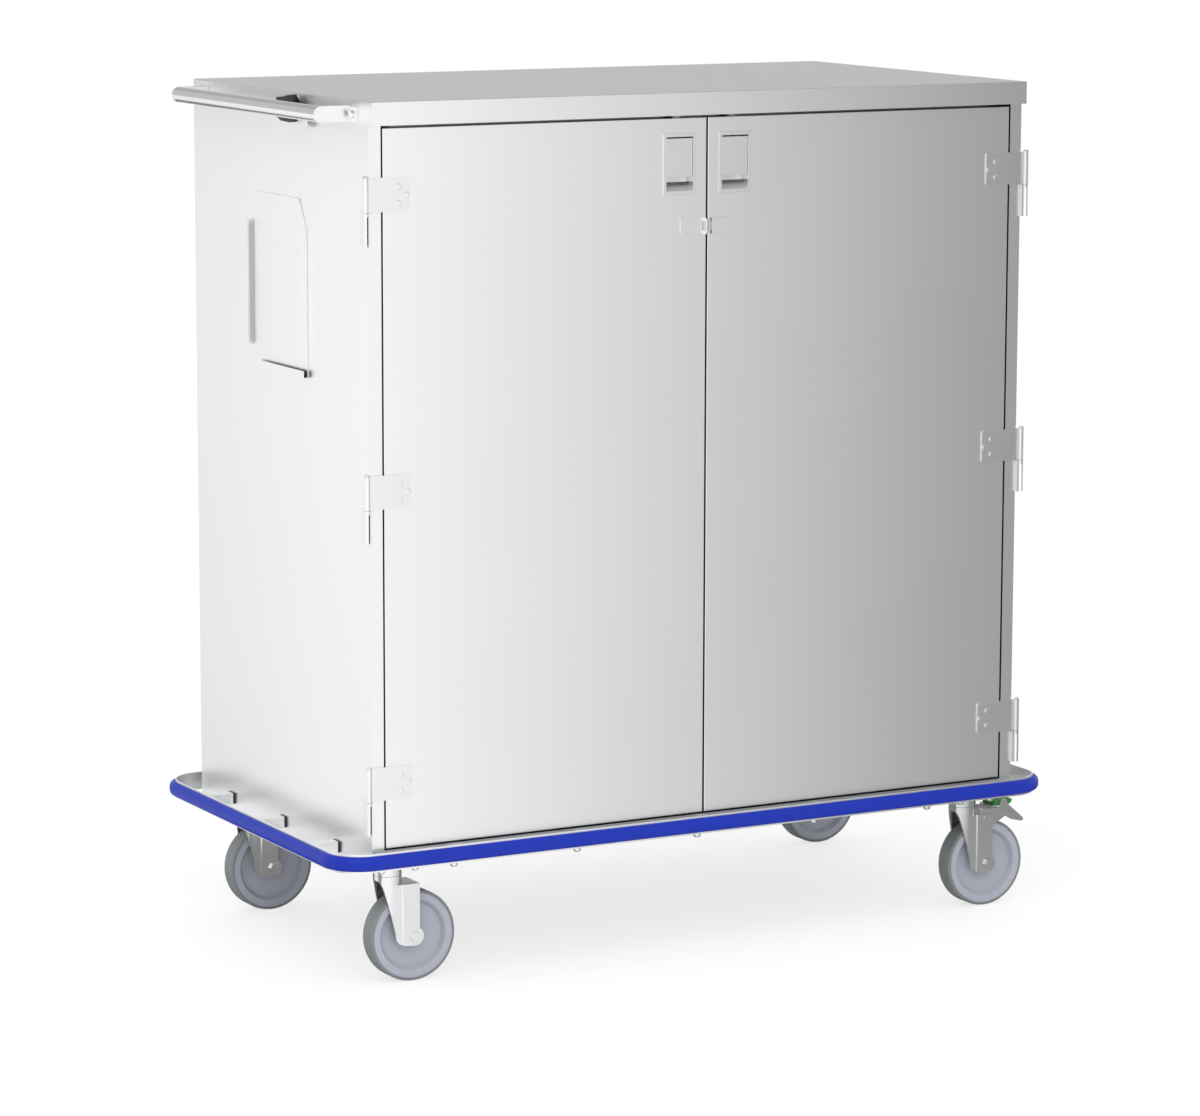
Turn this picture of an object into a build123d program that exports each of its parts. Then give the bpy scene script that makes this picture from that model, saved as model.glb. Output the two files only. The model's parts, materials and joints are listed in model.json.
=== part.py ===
from build123d import *
import os

# Closed case cart: a stainless cabinet with two double-skinned doors, on four swivel casters.
# Millimetres. X is right, Y is back and Z is up, and the doors face -Y.
# The origin is on the floor under the middle of the cart.

# Cabinet shell
WIDTH = 1210.0
DEPTH = 670.0
SHEET = 1.5
BASE_HEIGHT = 30.0
LID_BOTTOM = 1381.0
LID_HEIGHT = 37.0
LID_OVERHANG = 14.6
LID_FRONT_RETURN = 70.0
LID_RETURN = 20.0
LID_EDGE_RADIUS = 1.4
FRONT_FLANGE = 21.7
BACK_FLANGE = 21.5
STOP_REACH = 40.0
FRAME_SETBACK = 0.3
FLOOR_LIP = 20.0
STIFFENER_WIDTH = 30.0
STIFFENER_DEPTH = 25.0
STIFFENER_SPACING = 300.0
STIFFENER_END_GAP = 15.0
HEADER_DROP = 25.0
HEADER_DEPTH = 22.5

# Base frame
BASE_WALL = 3.0
BASE_END_PLATE = 172.0
BASE_SIDE_PLATE = 133.0
CROSS_MEMBER_WIDTH = 40.0
CROSS_MEMBER_SHIFT = 10.0

# Doors
DOOR_THICKNESS = 25.0
DOOR_SIDE_GAP = 3.0
DOOR_CENTRE_GAP = 3.0
DOOR_TOP_GAP = 5.0
DOOR_FLOOR_GAP = 3.0
DOOR_EDGE_RADIUS = 1.2
GASKET_SPACE = 2.5
GASKET_WIDTH = 11.0
GASKET_INSET = 3.0
SOFT_GAP = 0.3
STOP_WIDTH = 10.0
STOP_DEPTH = 12.0
STOP_SIDE_INSET = 34.0
STOP_FRONT_INSET = 13.0

# Door hinges, three to a door
HINGE_DROP = 81.0
HINGE_RISE = 167.0
HINGE_COUNT = 3
HINGE_HEIGHT = 107.5
HINGE_LEAF_HEIGHT = 53.6
HINGE_KNUCKLE_GAP = 0.5
HINGE_OUTSIDE = 7.2
HINGE_AHEAD = 4.7
HINGE_BARREL_RADIUS = 4.65
HINGE_PIN_RADIUS = 2.5
HINGE_CLEARANCE = 0.05
HINGE_LEAF_REACH = 70.0
HINGE_LEAF_THICKNESS = 2.5
HINGE_LEAF_CORNER = 5.0
HINGE_FRAME_LEAF_DEPTH = 28.0
HINGE_PIN_GRIP = 6.0
HINGE_PIN_HEAD = 3.2
HINGE_HEAD_GAP = 0.3
HINGE_SLOT_WIDTH = 3.2
HINGE_SLOT_OFFSET = 0.5
HINGE_SLOT_ANGLE = 28.6
RIVET_RADIUS = 2.5
RIVET_HEAD_RADIUS = 5.0
RIVET_HEAD_HEIGHT = 1.8
RIVET_TAIL_RADIUS = 4.0
RIVET_TAIL_HEIGHT = 1.3
RIVET_COLUMN = 50.7
RIVET_OUTER_COLUMN = 64.7
RIVET_DROPS = (15.0, 28.0, 40.5)

# Recessed pulls with a hinged paddle
PULL_X = 51.4
PULL_DROP = 122.0
PULL_WIDTH = 49.0
PULL_HEIGHT = 87.0
PULL_DEPTH = 16.0
PULL_WALL = 1.5
PULL_BEZEL = 6.0
PULL_BEZEL_THICKNESS = 1.5
PULL_RAMP_HEIGHT = 13.5
PADDLE_GAP = 0.5
PADDLE_SETBACK = 0.5
PADDLE_THICKNESS = 2.0
PADDLE_LENGTH = 61.5
PADDLE_LIP = 6.5
PADDLE_HEAD = 2.0
PADDLE_AXIS_DROP = 4.6
PADDLE_AXIS_DEPTH = 4.0
PADDLE_BARREL_RADIUS = 2.8
PADDLE_PIN_RADIUS = 1.5
PADDLE_ARM_WIDTH = 8.0
PADDLE_ARM_REACH = 9.0
PADDLE_ARM_THICKNESS = 2.5

# Latch bolts that the paddles pull down
BOLT_WIDTH = 12.0
BOLT_THICKNESS = 5.0
BOLT_SETBACK = 9.5
BOLT_TOP_GAP = 1.0
BOLT_SLIDE_CLEARANCE = 0.3
BOLT_WINDOW_HALF_HEIGHT = 3.6
BOLT_WINDOW_SIDE = 0.8
BOLT_FOOT = 2.5
KEEPER_SHEET = 1.5
KEEPER_SIDE_GAP = 1.0
KEEPER_BACK_GAP = 0.5
KEEPER_LIFT = 1.0

# Plates with a loop for a padlock or seal
HASP_DROP = 166.0
HASP_HEIGHT = 27.0
HASP_LEFT_LENGTH = 48.0
HASP_RIGHT_LENGTH = 41.0
HASP_THICKNESS = 1.5
HASP_CORNER = 3.0
LOOP_X = 5.0
LOOP_THICKNESS = 2.0
LOOP_REACH = 10.4
LOOP_CORNER = 5.5
LOOP_SLOT_WIDTH = 5.0
LOOP_SLOT_HEIGHT = 16.0
LOOP_SLOT_START = 2.6
LOOP_SLOT_CORNER = 2.4

# Shelving
UPRIGHT_WIDTH = 30.0
UPRIGHT_DEPTH = 15.0
UPRIGHT_INSET = 115.0
UPRIGHT_FOOT_GAP = 8.5
UPRIGHT_TOP_GAP = 31.0
UPRIGHT_SLOT_PITCH = 60.0
UPRIGHT_SLOT_WIDTH = 16.0
UPRIGHT_SLOT_HEIGHT = 8.0
SHELF_SLOTS = (5, 11)
SHELF_MARGIN = 45.0
SHELF_END_GAP = 1.5
SHELF_LIP = 30.0
SHELF_LIP_RETURN = 12.0
CLIP_REACH = 18.0
CLIP_WIDTH = 24.0
CLIP_HEIGHT = 12.0
CLIP_TONGUE = 6.0
CLIP_TONGUE_GAP = 0.3

# Ring round the base
RAIL_END_GAP = 61.0
RAIL_SIDE_GAP = 18.5
RAIL_WALL = 2.5
RAIL_RADIUS = 57.0
RAIL_LIFT = 2.0
RAIL_HEIGHT = 30.2
BUMPER_LIFT = 5.0
BUMPER_HEIGHT = 24.0
BUMPER_BULGE = 10.0
BUMPER_SIDE_BULGE = 9.5
BUMPER_ROUNDING = 9.3
STUB_SPACING = 206.0
STUB_WIDTH = 21.0
STUB_HEIGHT = 18.0
STUB_LIFT = 7.0
STUB_WALL = 2.0
STUB_PAD = 3.5
BASE_BOLT_END = 98.7
BASE_BOLT_INSET = 20.0
BASE_BOLT_RADIUS = 4.0
BASE_BOLT_HEAD_RADIUS = 6.0
BASE_BOLT_HEAD = 12.5
BASE_BOLT_DOME = 3.0
BASE_NUT_HEIGHT = 6.0

# Push handle on the left end
HANDLE_REACH = 50.0
HANDLE_LIFT = 15.0
HANDLE_RADIUS = 13.0
HANDLE_FRONT_INSET = 62.0
HANDLE_BACK_INSET = 54.0
HANDLE_LEG = 8.0
HANDLE_FLANGE = 27.0
HANDLE_FLANGE_THICKNESS = 4.0
HANDLE_FLANGE_TRIM = 1.0
HANDLE_BOLT_RADIUS = 4.0
HANDLE_BOLT_HEAD_RADIUS = 6.0
HANDLE_BOLT_HEAD = 4.0
HANDLE_NUT_RADIUS = 6.5
HANDLE_NUT_HEIGHT = 5.0

# How much of a head's height its rounded edge takes
DOME_SHARE = 0.8
BEZEL_DOME_SHARE = 0.6
BOLT_DOME_SHARE = 0.5

# Hold-open catches between the sides and the opened doors, with lengths from the cabinet's front
CATCH_START = 203.0
CATCH_END = 302.0
CATCH_REACH = 11.0
CATCH_SHEET = 2.4
CATCH_FOOT_LIFT = 19.0
CATCH_PLATE_START = 234.0
CATCH_PLATE_DROP = 3.0
CATCH_PLATE_LIFT = 34.0
CATCH_TAB_END = 226.0
CATCH_TAB_DROP = 10.6
CATCH_TAB_ROUNDING = 4.0
CATCH_BLOCK_THICKNESS = 7.0
CATCH_BLOCK_BOTTOM = ((236.0, -8.0), (254.0, -10.0), (286.0, -9.0), (299.0, -4.0))
CATCH_BLOCK_TOP = ((302.0, 28.0), (275.0, 30.0), (262.0, 33.0), (236.0, 35.5))
CATCH_CLIP_START = 229.0
CATCH_CLIP_END = 234.0
CATCH_CLIP_SHEET = 1.2
CATCH_CLIP_DROP = 12.5

# Card holder on the left side
CARD_HALF_WIDTH = 110.0
CARD_TOP_HALF_WIDTH = 82.0
CARD_DROP = 131.0
CARD_HEIGHT = 287.0
CARD_CHAMFER = 49.0
CARD_LIP_START = 34.0
CARD_SHEET = 1.2
CARD_LIP_DEPTH = 7.6
CARD_LIP_FOLD = 6.0
CARD_BOTTOM_LIP_BACK = 75.0
CARD_BOTTOM_LIP_HEIGHT = 12.0

# Casters, with the heights of forks and pedal counted from the axle
CASTER_RISE = 50.0
CASTER_END_INSET = 56.3
CASTER_SIDE_INSET = 61.8
TRAIL = 38.0
WHEEL_RADIUS = 75.0
TREAD_THICKNESS = 5.0
TREAD_WIDTH = 34.5
TREAD_ROUNDING = 3.0
RIM_WIDTH = 33.5
RIM_THICKNESS = 12.5
WEB_INSET = 18.0
WEB_WIDTH = 15.0
HUB_RADIUS = 17.0
HUB_LENGTH = 43.0
BEARING_RADIUS = 8.0
BEARING_LENGTH = 8.0
AXLE_RADIUS = 5.0
AXLE_CLEARANCE = 0.05
AXLE_HEAD_RADIUS = 9.0
AXLE_HEAD = 5.5
AXLE_NUT_HEIGHT = 8.0
AXLE_END = 2.0
PLATE_THICKNESS = 4.0
PLATE_LENGTH = 105.0
PLATE_WIDTH = 85.0
PLATE_CORNER = 8.0
PLATE_BOLT_X = 30.0
PLATE_BOLT_Y = 40.0
PLATE_BOLT_HEAD = 7.5
HEAD_RADIUS = 23.2
HEAD_HEIGHT = 19.0
SWIVEL_GAP = 0.5
KINGPIN_RADIUS = 6.0
KINGPIN_CLEARANCE = 0.05
KINGPIN_NUT_RADIUS = 11.0
KINGPIN_NUT_HEIGHT = 8.0
KINGPIN_NUT_GAP = 0.3
FORK_SHEET = 3.2
FORK_ROOF = 5.5
FORK_NECK = 14.5
FORK_NOSE_RADIUS = 23.2
FORK_HALF_WIDTH = 25.0
FORK_STEP_START = 14.5
FORK_STEP_END = 16.5
FORK_BACK = 46.0
FORK_END_RADIUS = 15.0
FORK_FRONT_EDGE = (
    (-24.2, 95.5), (-19.0, 92.0), (-15.5, 83.0), (-11.0, 65.0), (3.0, 10.0), (5.0, -4.0), (10.0, -10.5),
)
FORK_FOOT_START = 20.0

# Lock pedal on the front right caster
PEDAL_PIVOT_X = 34.0
PEDAL_PIVOT_RISE = 79.4
PEDAL_PIN_RADIUS = 3.0
PEDAL_PIN_HEAD_RADIUS = 5.0
PEDAL_PIN_HEAD = 2.0
PEDAL_SHEET = 3.0
PEDAL_SIDE_GAP = 0.3
PEDAL_OUTLINE = (
    (21.0, 96.0), (60.0, 94.5), (65.0, 105.0), (69.0, 108.5), (76.0, 108.5), (81.0, 99.0),
    (111.0, 73.0), (112.0, 68.5), (107.0, 67.0), (86.0, 72.5), (75.0, 79.5), (62.0, 72.0),
    (46.0, 64.0), (21.0, 64.0),
)
PEDAL_BRIDGE = ((48.0, 96.0), (84.0, 96.0), (84.0, 99.0), (48.0, 99.0))
PEDAL_TREAD = ((98.0, 80.5), (110.0, 70.5), (112.0, 72.8), (100.0, 82.8))
PAD_OUTLINE = ((52.0, 99.0), (88.0, 99.0), (92.0, 106.0), (86.0, 109.0), (60.0, 106.0), (54.0, 103.0))
PAD_HALF_WIDTH = 18.0

# Places worked out from the sizes above
BASE_BOTTOM = 2 * WHEEL_RADIUS + CASTER_RISE
SIDE = WIDTH / 2
FRONT = -DEPTH / 2
BACK = DEPTH / 2
FRAME_FRONT = FRONT + FRAME_SETBACK
INSIDE = SIDE - SHEET
BACK_INSIDE = BACK - SHEET
BASE_TOP = BASE_BOTTOM + BASE_HEIGHT
FLOOR_TOP = BASE_TOP + SHEET
LID_TOP = LID_BOTTOM + LID_HEIGHT
LID_FRONT = FRONT - LID_OVERHANG
STOP_FACE = FRONT + DOOR_THICKNESS + GASKET_SPACE
DOOR_OUTER = SIDE - FRONT_FLANGE - DOOR_SIDE_GAP
DOOR_INNER = DOOR_CENTRE_GAP / 2
DOOR_BOTTOM = FLOOR_TOP + DOOR_FLOOR_GAP
DOOR_TOP = LID_BOTTOM - DOOR_TOP_GAP
STOP_X = SIDE - STOP_SIDE_INSET
STOP_Y = FRONT + STOP_FRONT_INSET
STIFFENER_LENGTH = DEPTH - 2 * STIFFENER_END_GAP
LINER_FRONT = FRONT + DOOR_THICKNESS - SHEET
LINER_BACK = FRONT + DOOR_THICKNESS
HINGE_X = SIDE + HINGE_OUTSIDE
HINGE_Y = FRONT - HINGE_AHEAD
HINGE_TOP = LID_BOTTOM - HINGE_DROP
HINGE_PITCH = (HINGE_TOP - BASE_BOTTOM - HINGE_RISE) / (HINGE_COUNT - 1)
PULL_BOTTOM = LID_BOTTOM - PULL_DROP
PULL_TOP = PULL_BOTTOM + PULL_HEIGHT
PADDLE_AXIS_Z = PULL_TOP - PADDLE_AXIS_DROP
PADDLE_AXIS_Y = FRONT + PADDLE_AXIS_DEPTH
BOLT_FRONT = FRONT + BOLT_SETBACK
BOLT_BACK = BOLT_FRONT + BOLT_THICKNESS
HASP_TOP = LID_BOTTOM - HASP_DROP
UPRIGHT_Y = BACK - UPRIGHT_INSET
UPRIGHT_BOTTOM = FLOOR_TOP + UPRIGHT_FOOT_GAP
UPRIGHT_TOP = LID_BOTTOM - UPRIGHT_TOP_GAP
SHELF_DEPTH = DEPTH - 2 * SHELF_MARGIN
RAIL_WIDTH = WIDTH + 2 * RAIL_END_GAP
RAIL_DEPTH = DEPTH + 2 * RAIL_SIDE_GAP
RAIL_BOTTOM = BASE_BOTTOM + RAIL_LIFT
RAIL_TOP = RAIL_BOTTOM + RAIL_HEIGHT
BUMPER_BOTTOM = BASE_BOTTOM + BUMPER_LIFT
STUB_BOTTOM = BASE_BOTTOM + STUB_LIFT
HANDLE_X = -SIDE - HANDLE_REACH
HANDLE_Z = LID_BOTTOM + HANDLE_LIFT
HANDLE_FRONT = FRONT + HANDLE_FRONT_INSET
HANDLE_BACK = BACK - HANDLE_BACK_INSET
CATCH_SHELF_TOP = DOOR_TOP + CATCH_SHEET
CATCH_OUTSIDE = SIDE + CATCH_REACH
CARD_TOP = LID_BOTTOM - CARD_DROP
CARD_BOTTOM = CARD_TOP - CARD_HEIGHT
CARD_CHAMFER_BOTTOM = CARD_TOP - CARD_CHAMFER
CARD_LIP_BOTTOM = CARD_BOTTOM + CARD_LIP_START
CASTER_X = SIDE - CASTER_END_INSET
CASTER_Y = BACK - CASTER_SIDE_INSET
BASE_BOLT_SPACING = (CASTER_X - BASE_BOLT_END) / 2
CROSS_MEMBER_X = BASE_BOLT_SPACING - CROSS_MEMBER_SHIFT
PEDAL_PIVOT_Z = WHEEL_RADIUS + PEDAL_PIVOT_RISE
PLATE_BOTTOM = BASE_BOTTOM - PLATE_THICKNESS
HEAD_BOTTOM = PLATE_BOTTOM - HEAD_HEIGHT
RACEWAY_TOP = HEAD_BOTTOM - SWIVEL_GAP
FORK_TOP = RACEWAY_TOP - FORK_NECK
ROOF_BOTTOM = RACEWAY_TOP - FORK_ROOF
CORE_RADIUS = WHEEL_RADIUS - TREAD_THICKNESS
RIM_INNER_RADIUS = CORE_RADIUS - RIM_THICKNESS
WEB_RADIUS = CORE_RADIUS - WEB_INSET
CORNERS = {"front_left": (-1, -1), "front_right": (1, -1), "back_left": (-1, 1), "back_right": (1, 1)}
HINGE_TOPS = [HINGE_TOP - HINGE_PITCH * i for i in range(HINGE_COUNT)]


def block(x, y, z):
    """A box between two corners, given as a pair of limits on each axis."""
    size = [high - low for low, high in (x, y, z)]
    centre = [(high + low) / 2 for low, high in (x, y, z)]
    return Pos(*centre) * Box(*size)


def rod(axis, start, length, radius):
    """A round bar from a start point along +X, +Y or +Z."""
    turn = {"x": Rot(0, 90, 0), "y": Rot(-90, 0, 0), "z": Rot(0, 0, 0)}[axis]
    bar = Cylinder(radius, length, align=(Align.CENTER, Align.CENTER, Align.MIN))
    return Pos(*start) * turn * bar


def slab_x(points, x_low, x_high):
    """A flat plate across X with an outline in Y and Z."""
    face = make_face(Polyline(*[(x_low, y, z) for y, z in points], close=True))
    return extrude(face, amount=x_high - x_low, dir=(1, 0, 0))


def slab_y(points, y_low, y_high):
    """A flat plate across Y with an outline in X and Z."""
    face = make_face(Polyline(*[(x, y_low, z) for x, z in points], close=True))
    return extrude(face, amount=y_high - y_low, dir=(0, 1, 0))


def above_axle(outline):
    """An outline whose heights are counted from the axle, as heights above the floor."""
    return [(x, WHEEL_RADIUS + height) for x, height in outline]


def mirrored(shape):
    """The same shape on the other side of the cart's middle."""
    return mirror(shape, about=Plane.YZ)


def both_sides(shapes):
    """Each shape and its mirror image."""
    return [piece for shape in shapes for piece in (shape, mirrored(shape))]


def save(name, *shapes):
    """Writes one node, which may hold several separate solids."""
    solids = [solid for shape in shapes for solid in shape.solids()]
    node = solids[0] if len(solids) == 1 else Compound(solids)
    export_step(node, f"parts/{name}.step")


def edges_along(shape, axis, test):
    """The straight edges along an axis whose centres pass a test."""
    return [edge for edge in shape.edges().filter_by(axis) if test(edge.center())]


# Cabinet shell

def side_panel():
    """Right side: skin, front flange, door stop, back flange and top flange."""
    height = (FLOOR_TOP, LID_BOTTOM)
    flange_edge = SIDE - FRONT_FLANGE
    skin = block((INSIDE, SIDE), (FRAME_FRONT, BACK), (BASE_BOTTOM, LID_BOTTOM))
    front = block((flange_edge, SIDE), (FRAME_FRONT, FRAME_FRONT + SHEET), height)
    jamb = block((flange_edge, flange_edge + SHEET), (FRAME_FRONT, STOP_FACE + SHEET), height)
    stop = block((SIDE - STOP_REACH, flange_edge + SHEET), (STOP_FACE, STOP_FACE + SHEET), height)
    rear = block((SIDE - BACK_FLANGE, SIDE), (BACK_INSIDE, BACK), height)
    top_y = (STOP_FACE, BACK_INSIDE - SHEET)
    top = block((SIDE - BACK_FLANGE, SIDE), top_y, (LID_BOTTOM - SHEET, LID_BOTTOM))
    return skin + front + jamb + stop + rear + top


def back_panel():
    """Flat sheet inside the side panels' back flanges."""
    return block((-INSIDE, INSIDE), (BACK_INSIDE - SHEET, BACK_INSIDE), (FLOOR_TOP, LID_BOTTOM))


def floor_pan():
    """Cabinet floor with a raised lip that the doors close against, and one at the back."""
    inside_stop = SIDE - STOP_REACH
    sheet = block((-INSIDE, INSIDE), (FRAME_FRONT, BACK_INSIDE), (BASE_TOP, FLOOR_TOP))
    lip_height = (FLOOR_TOP, FLOOR_TOP + FLOOR_LIP)
    front = block((-inside_stop, inside_stop), (STOP_FACE, STOP_FACE + SHEET), lip_height)
    rear_face = BACK_INSIDE - SHEET
    rear = block((-inside_stop, inside_stop), (rear_face - SHEET, rear_face), lip_height)
    return sheet + front + rear


def lid():
    """Folded lid: top, skirts and a return under the skirts, with holes for the handle's bolts."""
    shell = block((-SIDE, SIDE), (LID_FRONT, BACK), (LID_BOTTOM, LID_TOP))
    shell = fillet(shell.edges().group_by(Axis.Z)[-1], LID_EDGE_RADIUS)
    room = block((-INSIDE, INSIDE), (LID_FRONT + SHEET, BACK_INSIDE), (LID_BOTTOM + SHEET, LID_TOP - SHEET))
    mouth_x = SIDE - LID_RETURN
    mouth_y = (LID_FRONT + LID_FRONT_RETURN, BACK - LID_RETURN)
    mouth = block((-mouth_x, mouth_x), mouth_y, (LID_BOTTOM, LID_BOTTOM + SHEET))
    shell = shell - room - mouth
    for y in handle_bolt_places():
        shell -= rod("x", (-SIDE, y, HANDLE_Z), SHEET, HANDLE_BOLT_RADIUS)
    return shell


def roof_frame():
    """Three channels under the lid, and the header that the door tops close against."""
    pieces = []
    top = LID_TOP - SHEET
    half = STIFFENER_WIDTH / 2
    for i in (-1, 0, 1):
        x = i * STIFFENER_SPACING
        length = (-STIFFENER_LENGTH / 2, STIFFENER_LENGTH / 2)
        channel = block((x - half, x + half), length, (top - STIFFENER_DEPTH, top))
        inside = (x - half + SHEET, x + half - SHEET)
        channel -= block(inside, length, (top - STIFFENER_DEPTH, top - SHEET))
        pieces.append(channel)
    reach = SIDE - STOP_REACH
    face = block((-reach, reach), (STOP_FACE, STOP_FACE + SHEET), (LID_BOTTOM - HEADER_DROP, LID_BOTTOM))
    flange = block((-reach, reach), (STOP_FACE, STOP_FACE + HEADER_DEPTH), (LID_BOTTOM - SHEET, LID_BOTTOM))
    return pieces + [face + flange]


# Base frame, ring and bumper

def base_bolt_places():
    """Bolts along the front and back of the base."""
    y = DEPTH / 2 - BASE_BOLT_INSET
    return [(i * BASE_BOLT_SPACING, side * y) for side in (-1, 1) for i in (-2, -1, 0, 1, 2)]


def caster_places():
    """Swivel centres of the four casters."""
    return {name: (sx * CASTER_X, sy * CASTER_Y) for name, (sx, sy) in CORNERS.items()}


def plate_bolt_places(x, y):
    """The four bolts of one caster's top plate."""
    return [(x + i * PLATE_BOLT_X, y + j * PLATE_BOLT_Y) for i in (-1, 1) for j in (-1, 1)]


def base_frame():
    """Welded frame under the floor: side walls, a wide bottom plate all round and two cross members."""
    height = (BASE_BOTTOM, BASE_TOP)
    frame = block((-INSIDE, INSIDE), (FRAME_FRONT, BACK_INSIDE), height)
    room_x = INSIDE - BASE_WALL
    room_y = (FRAME_FRONT + BASE_WALL, BACK_INSIDE - BASE_WALL)
    frame -= block((-room_x, room_x), room_y, (BASE_BOTTOM + BASE_WALL, BASE_TOP))
    mouth_x = INSIDE - BASE_END_PLATE
    mouth_y = (FRAME_FRONT + BASE_SIDE_PLATE, BACK_INSIDE - BASE_SIDE_PLATE)
    frame -= block((-mouth_x, mouth_x), mouth_y, (BASE_BOTTOM, BASE_BOTTOM + BASE_WALL))
    for side in (-1, 1):
        low = side * CROSS_MEMBER_X - CROSS_MEMBER_WIDTH / 2
        high = low + CROSS_MEMBER_WIDTH
        member = block((low, high), room_y, (BASE_BOTTOM + BASE_WALL, BASE_TOP))
        inside = (low + BASE_WALL, high - BASE_WALL)
        member -= block(inside, room_y, (BASE_BOTTOM + BASE_WALL, BASE_TOP - BASE_WALL))
        frame += member
    holes = base_bolt_places()
    for x, y in caster_places().values():
        holes += plate_bolt_places(x, y)
    for x, y in holes:
        frame -= rod("z", (x, y, BASE_BOTTOM), BASE_WALL, BASE_BOLT_RADIUS)
    return frame


def base_bolt(x, y, head_top, head_height):
    """A domed bolt from below with its nut on top of the base's bottom plate."""
    nut_bottom = BASE_BOTTOM + BASE_WALL
    head = rod("z", (x, y, head_top - head_height), head_height, BASE_BOLT_HEAD_RADIUS)
    head = fillet(head.edges().group_by(Axis.Z)[0], BASE_BOLT_DOME)
    nut = rod("z", (x, y, nut_bottom), BASE_NUT_HEIGHT, BASE_BOLT_HEAD_RADIUS)
    shank = rod("z", (x, y, head_top), nut_bottom - head_top, BASE_BOLT_RADIUS)
    return head + shank + nut


def base_bolts():
    """Bolts that hold the ring's brackets and the caster plates."""
    bolts = [base_bolt(x, y, BASE_BOTTOM, BASE_BOLT_HEAD) for x, y in base_bolt_places()]
    for x, y in caster_places().values():
        for bolt_x, bolt_y in plate_bolt_places(x, y):
            bolts.append(base_bolt(bolt_x, bolt_y, PLATE_BOTTOM, PLATE_BOLT_HEAD))
    return bolts


def ring(half_x, half_y, wall_x, wall_y, radius, bottom, top):
    """A rounded rectangular ring, given by its outside half sizes and its walls."""
    outside = RectangleRounded(2 * half_x, 2 * half_y, radius)
    inside = RectangleRounded(2 * (half_x - wall_x), 2 * (half_y - wall_y), radius - max(wall_x, wall_y))
    return Pos(0, 0, bottom) * extrude(outside - inside, amount=top - bottom)


def bumper_rail():
    """Thin steel ring round the base."""
    return ring(RAIL_WIDTH / 2, RAIL_DEPTH / 2, RAIL_WALL, RAIL_WALL, RAIL_RADIUS, RAIL_BOTTOM, RAIL_TOP)


def bumper_strip():
    """Blue strip round the rail, rounded outside."""
    outside = RectangleRounded(
        RAIL_WIDTH + 2 * BUMPER_BULGE, RAIL_DEPTH + 2 * BUMPER_SIDE_BULGE, RAIL_RADIUS + BUMPER_BULGE
    )
    strip = extrude(outside, amount=BUMPER_HEIGHT)
    outer_edges = strip.edges().group_by(Axis.Z)[0] + strip.edges().group_by(Axis.Z)[-1]
    strip = fillet(outer_edges, BUMPER_ROUNDING)
    strip -= extrude(RectangleRounded(RAIL_WIDTH, RAIL_DEPTH, RAIL_RADIUS), amount=BUMPER_HEIGHT)
    return Pos(0, 0, BUMPER_BOTTOM) * strip


def rail_stubs():
    """Cross tubes at both ends and short blocks along the front and back, which carry the rail."""
    height = (STUB_BOTTOM, STUB_BOTTOM + STUB_HEIGHT)
    bore_height = (STUB_BOTTOM + STUB_WALL, STUB_BOTTOM + STUB_HEIGHT - STUB_WALL)
    reach = (SIDE + STUB_PAD, RAIL_WIDTH / 2 - RAIL_WALL)
    stubs = []
    for i in (-1, 0, 1):
        y = i * STUB_SPACING
        half = STUB_WIDTH / 2
        tube = block(reach, (y - half, y + half), height)
        tube -= block(reach, (y - half + STUB_WALL, y + half - STUB_WALL), bore_height)
        stubs += both_sides([tube])
    rail_inside = RAIL_DEPTH / 2 - RAIL_WALL
    for x, y in base_bolt_places():
        span = (-rail_inside, FRAME_FRONT) if y < 0 else (BACK_INSIDE, rail_inside)
        stubs.append(block((x - STUB_WIDTH / 2, x + STUB_WIDTH / 2), span, height))
    return stubs


def stub_pads():
    """Black pads between the end tubes and the side panels."""
    height = (STUB_BOTTOM, STUB_BOTTOM + STUB_HEIGHT)
    half = STUB_WIDTH / 2
    pads = []
    for i in (-1, 0, 1):
        y = i * STUB_SPACING
        pads += both_sides([block((SIDE, SIDE + STUB_PAD), (y - half, y + half), height)])
    return pads


# Doors

def door_skin():
    """Right door's outer pan, open at the back, with holes for the pull, latch bolt and rivets."""
    across = (DOOR_INNER, DOOR_OUTER)
    height = (DOOR_BOTTOM, DOOR_TOP)
    pan = block(across, (FRONT, LINER_FRONT), height)
    pan = fillet(pan.edges().group_by(Axis.Y)[0], DOOR_EDGE_RADIUS)
    inside_height = (DOOR_BOTTOM + SHEET, DOOR_TOP - SHEET)
    pan -= block((DOOR_INNER + SHEET, DOOR_OUTER - SHEET), (FRONT + SHEET, LINER_FRONT), inside_height)
    pan -= pull_body((FRONT, FRONT + SHEET))
    gap = BOLT_SLIDE_CLEARANCE
    slot_x = (PULL_X - BOLT_WIDTH / 2 - gap, PULL_X + BOLT_WIDTH / 2 + gap)
    pan -= block(slot_x, (BOLT_FRONT - gap, BOLT_BACK + gap), (DOOR_TOP - SHEET, DOOR_TOP))
    for x, z in rivet_places():
        pan -= rod("y", (x, FRONT, z), SHEET, RIVET_RADIUS)
    return pan


def door_liner():
    """Right door's inner sheet."""
    return block((DOOR_INNER, DOOR_OUTER), (LINER_FRONT, LINER_BACK), (DOOR_BOTTOM, DOOR_TOP))


def door_gasket():
    """Rubber seal round the back of the right door."""
    face = (LINER_BACK, STOP_FACE - SOFT_GAP)
    low, high = GASKET_INSET, GASKET_INSET + GASKET_WIDTH
    seal = block((DOOR_INNER + low, DOOR_OUTER - low), face, (DOOR_BOTTOM + low, DOOR_TOP - low))
    seal -= block((DOOR_INNER + high, DOOR_OUTER - high), face, (DOOR_BOTTOM + high, DOOR_TOP - high))
    return seal


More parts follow.
